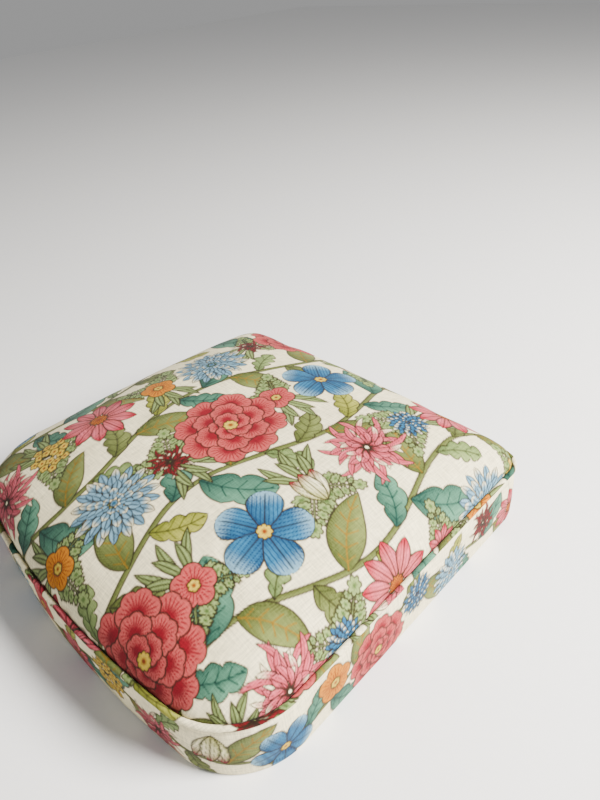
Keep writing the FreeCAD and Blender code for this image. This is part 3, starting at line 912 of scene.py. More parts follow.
def printed_cloth(name, pitch=1.3, fold=0.0004):
    """Linen with its printed colours, a plain weave with painted shade between its threads, and soft creases.
    """
    made, tree, shader = new_material(name, roughness=0.9, Specular_IOR_Level=0.12, Sheen_Weight=0.04)
    weave = place_group(tree, WEAVE, Vector=attribute(tree, "cloth", "Vector"), Pitch=pitch, Slub=0.8)
    fibres = place_group(tree, FIBRES, Vector=object_place(tree), Scale=900.0)
    mottle = noise(tree, attribute(tree, "cloth", "Vector"), 0.22, 3, 0.7)
    # the print is darkened between threads as painted shade, and mottled in tone at random
    shade = maths(tree, "MULTIPLY_ADD", mottle, 0.22, weave.outputs["Shade"])
    shade = maths(tree, "SUBTRACT", shade, 0.10)
    colour = tinted(tree, attribute(tree, "print", "Color"), shade)
    dress(tree, shader, colour, maths(tree, "MULTIPLY_ADD", fibres.outputs["Height"], 0.12, 0.80))
    crease = noise(tree, object_place(tree), 45.0, 2)
    height = maths(tree, "MULTIPLY_ADD", crease, fold / THREAD_HEIGHT, weave.outputs["Height"])
    bump(tree, shader, height, THREAD_HEIGHT, 0.55)
    return made


def woven_cloth(name, colour, dark, pitch, slub=0.35, roughness=0.92):
    """Unprinted cloth or webbing, darker between its threads as painted shade; pitch is in metres."""
    made, tree, shader = new_material(name, roughness=roughness, Sheen_Weight=0.15)
    place = object_place(tree)
    weave = place_group(tree, WEAVE, Vector=place, Pitch=pitch, Slub=slub)
    fibres = place_group(tree, FIBRES, Vector=place, Scale=700.0)
    fuzz = maths(tree, "MULTIPLY", fibres.outputs["Height"], 0.3)
    # painted shade: the dark colour shows where threads and fibres lie low
    weight = maths(tree, "MULTIPLY_ADD", weave.outputs["Height"], 0.75, fuzz, clamp=True)
    rough = maths(tree, "MULTIPLY_ADD", fibres.outputs["Cloud"], 0.2, roughness - 0.14)
    dress(tree, shader, mixed(tree, weight, dark, colour), rough)
    bump(tree, shader, weave.outputs["Height"], pitch * 0.25, 0.8)
    return made


def felted(name, colour, dark, scale, depth, roughness=0.95):
    """Wadding, foam or non-woven cloth, cloudy in tone and darker between its fibres as painted shade."""
    made, tree, shader = new_material(name, roughness=roughness)
    fibres = place_group(tree, FIBRES, Vector=object_place(tree), Scale=scale)
    fuzz = maths(tree, "MULTIPLY", fibres.outputs["Height"], 0.6)
    # cloudy tone at random, and painted shade where the fibres lie low
    weight = maths(tree, "MULTIPLY_ADD", fibres.outputs["Cloud"], 0.5, fuzz, clamp=True)
    rough = maths(tree, "MULTIPLY_ADD", fibres.outputs["Height"], 0.1, roughness - 0.08)
    dress(tree, shader, mixed(tree, weight, dark, colour), rough)
    bump(tree, shader, fibres.outputs["Height"], depth, 0.7)
    return made


def dust_cloth():
    """Black non-woven cloth, embossed with small dimples and slightly creased; darker in the dimples as
    painted shade.
    """
    made, tree, shader = new_material("black_dust_cloth", roughness=0.8)
    place = object_place(tree)
    slanted = stretched(tree, place, (1, 1, 1), (0, 0, math.pi / 4))
    weave = place_group(tree, WEAVE, Vector=slanted, Pitch=0.0016, Slub=0.1)
    fibres = place_group(tree, FIBRES, Vector=place, Scale=500.0)
    # painted shade: darker where the emboss lies low, with a cloudy tone at random
    weight = maths(tree, "MULTIPLY_ADD", weave.outputs["Height"], 0.4, fibres.outputs["Cloud"], clamp=True)
    colour = mixed(tree, weight, (0.010, 0.010, 0.011), (0.045, 0.045, 0.047))
    dress(tree, shader, colour, maths(tree, "MULTIPLY_ADD", fibres.outputs["Height"], 0.3, 0.55))
    crease = noise(tree, place, 22.0, 3, distortion=0.8)
    bump(tree, shader, maths(tree, "MULTIPLY_ADD", crease, 6.0, weave.outputs["Height"]), 0.0003, 0.8)
    return made


def timber(name, light, dark, grain_along):
    """Planed beech: long grain and short dark flecks, along the given way."""
    made, tree, shader = new_material(name, roughness=0.6, Specular_IOR_Level=0.35)
    place = object_place(tree)
    long_way = [90.0, 90.0, 90.0]
    long_way["XYZ".index(grain_along)] = 5.0
    fleck_way = [900.0, 900.0, 900.0]
    fleck_way["XYZ".index(grain_along)] = 160.0
    grain = noise(tree, stretched(tree, place, long_way), 1.0, 5, 0.6, 0.6)
    flecks = noise(tree, stretched(tree, place, fleck_way), 1.0, 2)
    weight = maths(tree, "MULTIPLY_ADD", grain, 1.8, -0.4, clamp=True)
    colour = mixed(tree, weight, dark, light)
    spots = maths(tree, "MULTIPLY", maths(tree, "GREATER_THAN", flecks, 0.64), 0.5)
    colour = mixed(tree, spots, colour, np.array(dark) * 0.6)
    dress(tree, shader, colour, maths(tree, "MULTIPLY_ADD", grain, 0.25, 0.42))
    bump(tree, shader, maths(tree, "ADD", grain, flecks), 0.0002, 0.5)
    return made


def steel(name, colour, roughness):
    """Plated steel, dulled by wear."""
    made, tree, shader = new_material(name, roughness=roughness, Metallic=1.0)
    wear = place_group(tree, WEAR, Vector=object_place(tree))
    dull = wear.outputs["Dullness"]
    rough = maths(tree, "ADD", dull, roughness - 0.2, clamp=True)
    dress(tree, shader, mixed(tree, dull, colour, np.array(colour) * 0.6), rough)
    bump(tree, shader, wear.outputs["Height"], 0.00003, 0.4)
    return made


def twisted_cord(name, colour, dark, pitch):
    """Cord or thread: slanting plies with fine fibres between them, darker in the grooves between plies as
    painted shade.
    """
    made, tree, shader = new_material(name, roughness=0.85, Sheen_Weight=0.2)
    place = object_place(tree)
    axes = tree.nodes.new("ShaderNodeSeparateXYZ")
    tree.links.new(place, axes.inputs[0])
    slant = maths(tree, "ADD", maths(tree, "ADD", axes.outputs[0], axes.outputs[1]), axes.outputs[2])
    plies = maths(tree, "ABSOLUTE", maths(tree, "SINE", maths(tree, "MULTIPLY", slant, math.pi / pitch)))
    fibres = place_group(tree, FIBRES, Vector=place, Scale=2400.0)
    fuzz = maths(tree, "MULTIPLY", fibres.outputs["Height"], 0.4)
    # painted shade: the grooves between plies and the low fibres take the dark colour
    weight = maths(tree, "MULTIPLY_ADD", plies, 0.7, fuzz, clamp=True)
    rough = maths(tree, "MULTIPLY_ADD", fibres.outputs["Height"], 0.2, 0.7)
    dress(tree, shader, mixed(tree, weight, dark, colour), rough)
    bump(tree, shader, plies, pitch * 0.15, 0.8)
    return made


# ---------------------------------------------------------------- Geometry Nodes trees
def geometry_tree(name, inputs):
    """An empty tree with named inputs; gives back the tree, its ends and its inputs' identifiers."""
    tree = bpy.data.node_groups.new(name, "GeometryNodeTree")
    tree.interface.new_socket("Geometry", in_out="INPUT", socket_type="NodeSocketGeometry")
    identifiers = {}
    for label, kind in inputs:
        identifiers[label] = tree.interface.new_socket(label, in_out="INPUT", socket_type=kind).identifier
    tree.interface.new_socket("Geometry", in_out="OUTPUT", socket_type="NodeSocketGeometry")
    return tree, tree.nodes.new("NodeGroupInput"), tree.nodes.new("NodeGroupOutput"), identifiers


def put(tree, kind, settings=None, **inputs):
    """A node with its settings, whose inputs take a value or another node's output."""
    made = tree.nodes.new(kind)
    for name, value in (settings or {}).items():
        setattr(made, name, value)
    for name, value in inputs.items():
        plug(tree, made, name.replace("_", " "), value)
    return made


def piping_tree():
    """Cloth sewn round a cord: a tube along the seam, drawn into small wrinkles across the cord."""
    tree, given, result, identifiers = geometry_tree(
        "piping_along_seam",
        [
            ("Spacing", "NodeSocketFloat"),
            ("Tube Radius", "NodeSocketFloat"),
            ("Sides", "NodeSocketInt"),
            ("Wrinkle Depth", "NodeSocketFloat"),
            ("Wrinkle Scale", "NodeSocketFloat"),
            ("Cloth", "NodeSocketMaterial"),
        ],
    )
    take = given.outputs
    line = put(tree, "GeometryNodeMeshToCurve", Mesh=take["Geometry"])
    by_length = {"mode": "LENGTH"}
    even = put(tree, "GeometryNodeResampleCurve", by_length, Curve=line.outputs[0], Length=take["Spacing"])
    length = put(tree, "GeometryNodeSplineParameter").outputs["Length"]
    marked = put(
        tree, "GeometryNodeStoreNamedAttribute", {"data_type": "FLOAT", "domain": "POINT"},
        Geometry=even.outputs[0], Name="along", Value=length,
    )
    ring = put(tree, "GeometryNodeCurvePrimitiveCircle", Resolution=take["Sides"], Radius=take["Tube Radius"])
    tube = put(tree, "GeometryNodeCurveToMesh", Curve=marked.outputs[0], Profile_Curve=ring.outputs[0])
    wrinkles = put(tree, "ShaderNodeTexNoise", Scale=take["Wrinkle Scale"], Detail=2.0)
    centred = put(tree, "ShaderNodeMath", {"operation": "SUBTRACT"})
    tree.links.new(wrinkles.outputs[0], centred.inputs[0])
    centred.inputs[1].default_value = 0.5
    depth = put(tree, "ShaderNodeMath", {"operation": "MULTIPLY"})
    tree.links.new(centred.outputs[0], depth.inputs[0])
    tree.links.new(take["Wrinkle Depth"], depth.inputs[1])
    push = put(tree, "ShaderNodeVectorMath", {"operation": "SCALE"}, Scale=depth.outputs[0])
    tree.links.new(put(tree, "GeometryNodeInputNormal").outputs[0], push.inputs[0])
    moved = put(tree, "GeometryNodeSetPosition", Geometry=tube.outputs[0], Offset=push.outputs[0])
    smooth = put(tree, "GeometryNodeSetShadeSmooth", Geometry=moved.outputs[0])
    whole = put(tree, "GeometryNodeRealizeInstances", Geometry=smooth.outputs[0])
    dressed = put(tree, "GeometryNodeSetMaterial", Geometry=whole.outputs[0], Material=take["Cloth"])
    tree.links.new(dressed.outputs[0], result.inputs["Geometry"])
    return tree, identifiers


def stitch_tree():
    """Thread stitches along a seam, each turned a little differently."""
    tree, given, result, identifiers = geometry_tree(
        "stitches_along_seam",
        [
            ("Pitch", "NodeSocketFloat"),
            ("Stitch Size", "NodeSocketVector"),
            ("Looseness", "NodeSocketFloat"),
            ("Seed", "NodeSocketInt"),
            ("Thread", "NodeSocketMaterial"),
        ],
    )
    take = given.outputs
    line = put(tree, "GeometryNodeMeshToCurve", Mesh=take["Geometry"])
    by_length = {"mode": "LENGTH"}
    even = put(tree, "GeometryNodeResampleCurve", by_length, Curve=line.outputs[0], Length=take["Pitch"])
    ball = put(tree, "GeometryNodeMeshUVSphere", Segments=6, Rings=5, Radius=0.5)
    way = put(tree, "FunctionNodeAlignRotationToVector", {"axis": "X"})
    tree.links.new(put(tree, "GeometryNodeInputTangent").outputs[0], way.inputs["Vector"])
    chance = put(tree, "FunctionNodeRandomValue", {"data_type": "FLOAT"}, Seed=take["Seed"])
    low, high = [s for s in chance.inputs if s.enabled and s.name in ("Min", "Max")]
    low.default_value = -1.0
    high.default_value = 1.0
    tilt = put(tree, "ShaderNodeMath", {"operation": "MULTIPLY"})
    tree.links.new(next(s for s in chance.outputs if s.enabled), tilt.inputs[0])
    tree.links.new(take["Looseness"], tilt.inputs[1])
    turn = put(tree, "ShaderNodeCombineXYZ", Z=tilt.outputs[0])
    turned = put(tree, "FunctionNodeRotateRotation", {"rotation_space": "LOCAL"}, Rotation=way.outputs[0])
    tree.links.new(turn.outputs[0], turned.inputs["Rotate By"])
    laid = put(
        tree, "GeometryNodeInstanceOnPoints",
        Points=even.outputs[0], Instance=ball.outputs[0], Rotation=turned.outputs[0],
        Scale=take["Stitch Size"],
    )
    whole = put(tree, "GeometryNodeRealizeInstances", Geometry=laid.outputs[0])
    smooth = put(tree, "GeometryNodeSetShadeSmooth", Geometry=whole.outputs[0])
    dressed = put(tree, "GeometryNodeSetMaterial", Geometry=smooth.outputs[0], Material=take["Thread"])
    tree.links.new(dressed.outputs[0], result.inputs["Geometry"])
    return tree, identifiers


def grown(name, lines, tree, identifiers, values):
    """A piece that a tree grows along lines of points; a closed line joins its last point to its first."""
    points = np.concatenate([line for line, closed in lines])
    edges = []
    start = 0
    for line, closed in lines:
        count = len(line)
        edges += [(start + k, start + (k + 1) % count) for k in range(count if closed else count - 1)]
        start += count
    mesh = bpy.data.meshes.new(name)
    mesh.from_pydata(points.tolist(), edges, [])
    made = bpy.data.objects.new(name, mesh)
    bpy.context.scene.collection.objects.link(made)
    modifier = made.modifiers.new("grow", "NODES")
    modifier.node_group = tree
    for label, value in values.items():
        modifier[identifiers[label]] = value
    return applied(made)


# ---------------------------------------------------------------- finishes
LINEN = printed_cloth("printed_linen")
PIPING_LINEN = printed_cloth("bias_cut_linen", fold=0.0002)
THREAD = twisted_cord("sewing_thread", (0.72, 0.66, 0.55), (0.42, 0.37, 0.29), 0.0009)
BEECH_ACROSS = timber("beech_across", (0.60, 0.40, 0.22), (0.42, 0.25, 0.12), "X")
BEECH_ALONG = timber("beech_along", (0.58, 0.38, 0.21), (0.40, 0.24, 0.12), "Y")
BEECH_DOWEL = timber("beech_dowel", (0.62, 0.44, 0.26), (0.45, 0.29, 0.15), "Y")
SCREW_STEEL = steel("screw_steel", (0.62, 0.56, 0.40), 0.34)
ZINC_STEEL = steel("zinc_steel", (0.64, 0.66, 0.68), 0.30)
STAPLE_WIRE = steel("staple_wire", (0.60, 0.60, 0.60), 0.36)
JUTE = woven_cloth("jute_webbing", (0.46, 0.32, 0.17), (0.20, 0.12, 0.05), 0.0024)
HESSIAN = woven_cloth("hessian_cloth", (0.50, 0.37, 0.20), (0.16, 0.10, 0.05), 0.0017)
CALICO = woven_cloth("calico_cotton", (0.74, 0.68, 0.55), (0.52, 0.46, 0.34), 0.0006, 0.25)
WADDING = felted("polyester_wadding", (0.86, 0.86, 0.84), (0.62, 0.62, 0.60), 420.0, 0.0012)
FOAM = felted("polyether_foam", (0.74, 0.66, 0.36), (0.46, 0.38, 0.16), 900.0, 0.0004)
CORD = twisted_cord("cotton_cord", (0.78, 0.74, 0.64), (0.48, 0.43, 0.34), 0.0032)
DUST_CLOTH = dust_cloth()


def finished(piece, material, replaced=()):
    """Gives a piece its material and body, and hides the parts that it stands for."""
    piece.data.materials.clear()
    piece.data.materials.append(material)
    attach(piece, "root")
    if replaced:
        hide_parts(*replaced)
    return piece


# ---------------------------------------------------------------- top panel
PANEL_SLACK = 0.955  # how much lower the dome starts, before it swells
PUCKER_PITCH = 0.019
PUCKER_REACH = 0.016
PUCKER_START = 0.003
PUCKER_DEPTH = 0.00045
RUMPLE_PITCH = 0.085
RUMPLE_DEPTH = 0.0005
SWELL_FRAMES = 20
SWELL_PRESSURE = 4
CLOTH_MASS = 0.25


def with_base(mesh, height):
    """Closes a dome's open rim with a flat base at a height."""
    shape = bmesh.new()
    shape.from_mesh(mesh)
    rim = [edge for edge in shape.edges if edge.is_boundary]
    lower = {}
    for edge in rim:
        for corner in edge.verts:
            if corner not in lower and corner.co.z - height > 1e-6:
                lower[corner] = shape.verts.new((corner.co.x, corner.co.y, height))
    middle = shape.verts.new((0, 0, height))
    for edge in rim:
        loop = edge.link_loops[0]
        first, second = loop.vert, loop.link_loop_next.vert
        if first in lower:
            shape.faces.new([second, first, lower[first], lower[second]])
            first, second = lower[first], lower[second]
        shape.faces.new([second, first, middle])
    shape.to_mesh(mesh)
    shape.free()
    mesh.update()


def swell(piece):
    """Lets the cover swell outwards over its padding, held at the seam, by a cloth simulation."""
    before = coordinates(piece.data)
    cloth = piece.modifiers.new("swell", "CLOTH")
    cloth.settings.quality = 6
    cloth.settings.mass = CLOTH_MASS
    cloth.settings.tension_stiffness = 18
    cloth.settings.compression_stiffness = 18
    cloth.settings.shear_stiffness = 8
    cloth.settings.bending_stiffness = 0.6
    cloth.settings.use_pressure = True
    cloth.settings.uniform_pressure_force = SWELL_PRESSURE
    cloth.settings.effector_weights.gravity = 0
    cloth.settings.vertex_group_mass = "seam"
    cloth.point_cache.frame_start = 1
    cloth.point_cache.frame_end = SWELL_FRAMES
    scene = bpy.context.scene
    for number in range(1, SWELL_FRAMES + 1):
        scene.frame_set(number)
    ready = piece.evaluated_get(bpy.context.evaluated_depsgraph_get())
    after = coordinates(ready.to_mesh())
    ready.to_mesh_clear()
    piece.modifiers.clear()
    scene.frame_set(1)
    facing = normals_of(piece.data)
    lift = np.clip(((after - before) * facing).sum(1), 0, None)
    lift *= min(1, SWELL_CAP / lift.max())
    set_coordinates(piece.data, before + facing * lift[:, None])


def subdivided(piece):
    modifier = piece.modifiers.new("finer", "SUBSURF")
    modifier.levels = SUBDIVISIONS
    modifier.render_levels = SUBDIVISIONS
    modifier.boundary_smooth = "PRESERVE_CORNERS"
    return applied(piece)


def make_top_panel():
    """The printed cover over the dome: swollen by simulation, then puckered towards its seam."""
    points, flat = dome_surface(SIM_RINGS)
    side = 2 * SIM_RINGS + 1
    cloth_run = dome_profile()[2]
    ring = ring_grid(SIM_RINGS)[0]
    points[:, 2] = PIPING_Z + (points[:, 2] - PIPING_Z) * PANEL_SLACK
    piece = new_object("top_panel_cover", points, grid_faces(side, side)[:, ::-1])
    set_attribute(piece.data, "cloth", flat / MM)
    inward = cloth_run[-1] * (1 - ring.ravel() / SIM_RINGS)
    set_attribute(piece.data, "seam", np.column_stack([inward, inward]))
    seam = piece.vertex_groups.new(name="seam")
    seam.add(rim_of_grid(SIM_RINGS).tolist(), 1.0, "REPLACE")
    swell(piece)
    piece = subdivided(piece)
    mesh = piece.data
    points = coordinates(mesh)
    inward = vector_attribute(mesh, "seam")[:, 0]
    x, y = points[:, 0], points[:, 1]
    pucker = smooth_noise(x, y, PUCKER_PITCH, SEED) * np.exp(-inward / PUCKER_REACH)
    pucker *= np.clip(inward / PUCKER_START, 0, 1)
    rumple = smooth_noise(x, y, RUMPLE_PITCH, SEED + 1) * np.clip(inward / PUCKER_REACH, 0, 1)
    points += normals_of(mesh) * (pucker * PUCKER_DEPTH + rumple * RUMPLE_DEPTH)[:, None]
    set_coordinates(mesh, points)
    cloth = Cloth(vector_attribute(mesh, "cloth"))
    print_panel(cloth)
    set_attribute(mesh, "print", cloth.colour)
    with_base(mesh, PIPING_Z)
    finished(piece, LINEN, ["top_panel"])


make_top_panel()


# ---------------------------------------------------------------- layers under the cover
LAYER_RINGS = 40


def layer(name, depth, thickness, material, slot, node):
    """A shell between two depths under the cover, joined along its rim."""
    upper = dome_surface(LAYER_RINGS, depth)[0]
    lower = dome_surface(LAYER_RINGS, depth + thickness)[0]
    side = 2 * LAYER_RINGS + 1
    count = side * side
    top = grid_faces(side, side)[:, ::-1]
    under = grid_faces(side, side) + count
    rim = rim_of_grid(LAYER_RINGS)
    after = np.roll(rim, -1)
    edge = np.stack([rim, rim + count, after + count, after], 1)
    points = np.concatenate([upper, lower])
    points[:, 2] = PIPING_Z + (points[:, 2] - PIPING_Z) * PANEL_SLACK
    piece = new_object(name, points, np.concatenate([top, under, edge]))
    return finished(piece, material, [node])


def make_layers():
    calico = layer("calico_layer", CALICO_DEPTH, CALICO_T, CALICO, "calico", "calico_undercover")
    wadding = layer("wadding_layer", WADDING_DEPTH, WADDING_T, WADDING, "wadding", "wadding_wrap")
    points = dome_surface(LAYER_RINGS, FOAM_DEPTH)[0]
    points[:, 2] = PIPING_Z + (points[:, 2] - PIPING_Z) * PANEL_SLACK
    side = 2 * LAYER_RINGS + 1
    foam = new_object("foam_core", points, grid_faces(side, side)[:, ::-1])
    with_base(foam.data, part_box("foam_pad")[0][2])
    finished(foam, FOAM, ["foam_pad"])


make_layers()


# ---------------------------------------------------------------- piping
PIPING_SPACING = 0.0012
PIPING_SIDES = 22
WRINKLE_DEPTH = 0.0005
WRINKLE_SCALE = 170.0
STRIP_LENGTH = 0.475
STRIP_START = (-0.170, 0.130)  # where on the cloth the first strip is cut
STRIP_SHIFT = (0.095, -0.070)  # from one strip to the next


def make_piping():
    """Bias-cut piping: a tube round the cord, made of strips joined end to end."""
    outline = np.column_stack([OUTLINE, np.full(len(OUTLINE), PIPING_Z)])
    tree, identifiers = piping_tree()
    piece = grown(
        "bias_piping", [(outline, True)], tree, identifiers,
        {
            "Spacing": PIPING_SPACING,
            "Tube Radius": PIPING_R - WRINKLE_DEPTH / 4,
            "Sides": PIPING_SIDES,
            "Wrinkle Depth": WRINKLE_DEPTH,
            "Wrinkle Scale": WRINKLE_SCALE,
            "Cloth": PIPING_LINEN,
        },
    )
    mesh = piece.data
    points = coordinates(mesh)
    values = np.empty(len(points), np.float32)
    mesh.attributes["along"].data.foreach_get("value", values)
    along = values.astype(float)
    centre, outward = on_outline(along)
    across = ((points[:, :2] - centre) * outward).sum(1)
    round_cord = np.arctan2(points[:, 2] - PIPING_Z, across) * PIPING_R
    strip = np.floor(along / STRIP_LENGTH)
    within = along - strip * STRIP_LENGTH
    bias = math.cos(math.pi / 4)
    middle = within - STRIP_LENGTH / 2
    starts = np.array(STRIP_START) + strip[:, None] * np.array(STRIP_SHIFT)
    flat = starts + bias * np.column_stack([middle - round_cord, middle + round_cord])
    set_attribute(mesh, "cloth", flat / MM)
    cloth = Cloth(flat / MM)
    print_panel(cloth)
    set_attribute(mesh, "print", cloth.colour)
    mesh.attributes.remove(mesh.attributes["along"])
    face_outwards(mesh)
    finished(piece, PIPING_LINEN, ["piping_cover"])


def face_outwards(mesh):
    """Turns all faces of a closed mesh outwards."""
    shape = bmesh.new()
    shape.from_mesh(mesh)
    bmesh.ops.recalc_face_normals(shape, faces=shape.faces)
    if shape.calc_volume(signed=True) < 0:
        bmesh.ops.reverse_faces(shape, faces=shape.faces)
    shape.to_mesh(mesh)
    shape.free()
    mesh.update()


make_piping()


# ---------------------------------------------------------------- border
WALL_TUCK_DOWN = 0.0030
WALL_TUCK_IN = 0.0012
TUCK_REACH = 0.004
TURN_R = 0.003
TURN_POINTS = 4
TURN_UNDER = 0.026
UNDER_POINTS = 8
INNER_EVERY = 8  # the inner face keeps one column in eight
INNER_ROWS = 4
DRAW_DEPTH, DRAW_PITCH, DRAW_REACH = 0.00035, 0.016, 0.010
WAVE_DEPTH, WAVE_PITCH = 0.00035, 0.075
SLACK_DEPTH, SLACK_PITCH = 0.00022, 0.030
FADE_TOP, FADE_LOW = 0.006, 0.012  # where the relief dies away, below the piping and above the turn
SEAM_GROOVE, GROOVE_WIDTH = 0.0009, 0.0022


def border_profile():
    """The border from the piping to under the rail: heights, offsets outward, cloth run, and facing."""
    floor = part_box("border_rear")[0][2]
    top = PIPING_Z - WALL_TUCK_DOWN
    turn_z = floor + TURN_R
    wall = np.linspace(top, turn_z, int((top - turn_z) / BORDER_STEP) + 1)
    share = (wall - turn_z) / (top - turn_z)
    offset = BORDER_BULGE * np.sin(math.pi * np.clip(share, 0, 1)) ** 0.8
    offset -= WALL_TUCK_IN * np.exp(-(top - wall) / TUCK_REACH)
    turns = np.linspace(0, math.pi / 2, TURN_POINTS + 1)[1:]
    round_z = turn_z - TURN_R * np.sin(turns)
    round_offset = TURN_R * (np.cos(turns) - 1)
    under = np.linspace(-TURN_R, -TURN_UNDER, UNDER_POINTS + 1)[1:]
    heights = np.concatenate([wall, round_z, np.full(UNDER_POINTS, floor)])
    offsets = np.concatenate([offset, round_offset, under])
    facing = np.concatenate([np.zeros(len(wall)), turns, np.full(UNDER_POINTS, math.pi / 2)])
    run = np.concatenate([[0], np.cumsum(np.hypot(np.diff(heights), np.diff(offsets)))])
    return heights, offsets, facing, run


def make_border(name, start, end, node):
    """A printed band below the piping between two places on its line, turned under, with an inner face."""
    heights, offsets, facing, run = border_profile()
    columns = int((end - start) / BORDER_STEP) // INNER_EVERY * INNER_EVERY + 1
    rows = len(heights)
    places = np.linspace(start, end, columns)
    line, outward = on_outline(places)
    along, down = np.meshgrid(places, run)

    # the cover is drawn in at the piping and at the end seams, and pulled in long soft waves
    from_seam = np.minimum(places - start, end - places)[None, :]
    wall_part = (facing == 0)[:, None]
    draw = smooth_noise(along, down * 0.25, DRAW_PITCH, SEED + 2) * np.exp(-down / DRAW_REACH) * DRAW_DEPTH
    wave = smooth_noise(along, down * 0.6, WAVE_PITCH, SEED + 3) * WAVE_DEPTH
    slack = smooth_noise(along * 0.6, down, SLACK_PITCH, SEED + 4) * SLACK_DEPTH
    to_turn = run[rows - UNDER_POINTS - 1] - down
    fade = np.clip(down / FADE_TOP, 0, 1) * np.clip(to_turn / FADE_LOW, 0, 1)
    groove = SEAM_GROOVE * np.exp(-((from_seam / GROOVE_WIDTH) ** 2))
    moved = offsets[:, None] + np.where(wall_part, (draw + wave + slack) * fade, 0) - groove * wall_part
    plan = line[None, :, :] + outward[None, :, :] * moved[:, :, None]
    outer = np.concatenate([plan, np.broadcast_to(heights[:, None, None], (rows, columns, 1))], 2)

    kept_rows = np.unique(np.append(np.arange(0, rows, INNER_ROWS), rows - 1))
    kept_columns = np.arange(0, columns, INNER_EVERY)
    inward = np.concatenate(
        [
            outward[None, :, :] * np.cos(facing)[:, None, None],
            np.broadcast_to(-np.sin(facing)[:, None, None], (rows, columns, 1)),
        ],
        2,
    )
    inner = (outer - inward * BORDER_T)[np.ix_(kept_rows, kept_columns)]
    count = rows * columns
    across = len(kept_columns)
    faces = grid_faces(rows, columns)[:, ::-1]
    inner_faces = grid_faces(len(kept_rows), across) + count
    rims = []
    for k in range(across - 1):
        span = np.arange(kept_columns[k], kept_columns[k + 1] + 1)
        last = (len(kept_rows) - 1) * across + k
        rims.append([*span, count + k + 1, count + k])
        rims.append([*(span[::-1] + (rows - 1) * columns), count + last, count + last + 1])
    for k in range(len(kept_rows) - 1):
        span = np.arange(kept_rows[k], kept_rows[k + 1] + 1) * columns
        here, there = count + k * across, count + (k + 1) * across
        rims.append([*span[::-1], here, there])
        rims.append([*(span + columns - 1), there + across - 1, here + across - 1])
    rims = [[int(corner) for corner in corners] for corners in rims]
    points = np.concatenate([outer.reshape(-1, 3), inner.reshape(-1, 3)])
    piece = new_object(name, points, np.concatenate([faces, inner_faces]), rims)
    face_outwards(piece.data)

    top_z = PIPING_Z / MM
    flat = np.stack([along / MM, np.broadcast_to(top_z - down / MM, along.shape)], 2)
    coarse = flat[np.ix_(kept_rows, kept_columns)]
    flat = np.concatenate([flat.reshape(-1, 2), coarse.reshape(-1, 2)])
    cloth = Cloth(flat)
    print_border(cloth)
    if end > PERIMETER / 2:
        print_border(cloth, offset=PERIMETER / MM)
    set_attribute(piece.data, "cloth", flat)
    set_attribute(piece.data, "print", cloth.colour)
    finished(piece, LINEN, [node])
    return piece


def seam_place():
    """Arc length of the right-hand seam between the front and rear border pieces."""
    seam_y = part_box("border_front_and_sides")[1][1]
    half = len(OUTLINE) // 2
    return float(np.interp(seam_y, OUTLINE[200:half, 1], LENGTHS[200:half]))


SEAM_PLACE = seam_place()
make_border("border_cover_front", -SEAM_PLACE, SEAM_PLACE, "border_front_and_sides")
make_border("border_cover_rear", SEAM_PLACE, PERIMETER - SEAM_PLACE, "border_rear")


# ---------------------------------------------------------------- bottom cloth
BOLT_HOLE_R = 0.006
HOLE_SIDES = 32
EDGE_POINTS = 480


def inset_outline(inset, count):
    """The piping line moved inwards, anticlockwise."""
    line, outward = on_outline(np.linspace(0, PERIMETER, count, endpoint=False))
    return line - outward * inset


def hole_ring(centre):
    turns = np.linspace(0, 2 * math.pi, HOLE_SIDES, endpoint=False)
    return np.array(centre) + BOLT_HOLE_R * np.stack([np.cos(turns), np.sin(turns)], 1)


def make_bottom_cloth():
    """Dust cloth pulled flat under the frame, with an opening for each leg bolt."""
    low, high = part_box("bottom_cloth")
    edge = inset_outline(-cord_low[0] - CORD_R - high[0], EDGE_POINTS)
    mount = next(m for m in frame["record"]["mounts"] if m["kind"] == "bolt_pattern")
    middle = mount["pos_m"]
    span_x, span_y = mount["dims"]["spacing_x_mm"] * MM, mount["dims"]["spacing_y_mm"] * MM
    bolts = [(middle[0] + i * span_x / 2, middle[1] + j * span_y / 2) for i in (-1, 1) for j in (-1, 1)]
    shape = bmesh.new()
    loops = []
    for ring in [edge, *[hole_ring(bolt) for bolt in bolts]]:
        corners = [shape.verts.new((x, y, low[2])) for x, y in ring]
        loops += [shape.edges.new((corners[k - 1], corners[k])) for k in range(len(corners))]
    bmesh.ops.triangle_fill(shape, use_beauty=True, use_dissolve=False, edges=loops)
    sheet = shape.faces[:]
    raised = bmesh.ops.extrude_face_region(shape, geom=sheet)
    for made in raised["geom"]:
        if isinstance(made, bmesh.types.BMVert):
            made.co.z = high[2]
    mesh = bpy.data.meshes.new("dust_cloth_sheet")
    shape.to_mesh(mesh)
    shape.free()
    piece = bpy.data.objects.new("dust_cloth_sheet", mesh)
    bpy.context.scene.collection.objects.link(piece)
    face_outwards(mesh)
    finished(piece, DUST_CLOTH, ["bottom_cloth"])


make_bottom_cloth()


# ---------------------------------------------------------------- stitches
CREASE_OUT = 0.0004
CREASE_DOWN = 0.0043
STITCH_PITCH = 0.0040
STITCH_LENGTH = 0.0034
THREAD_WIDTH = 0.0006
THREAD_LOOSENESS = 0.12
SEAM_POINTS = 1200


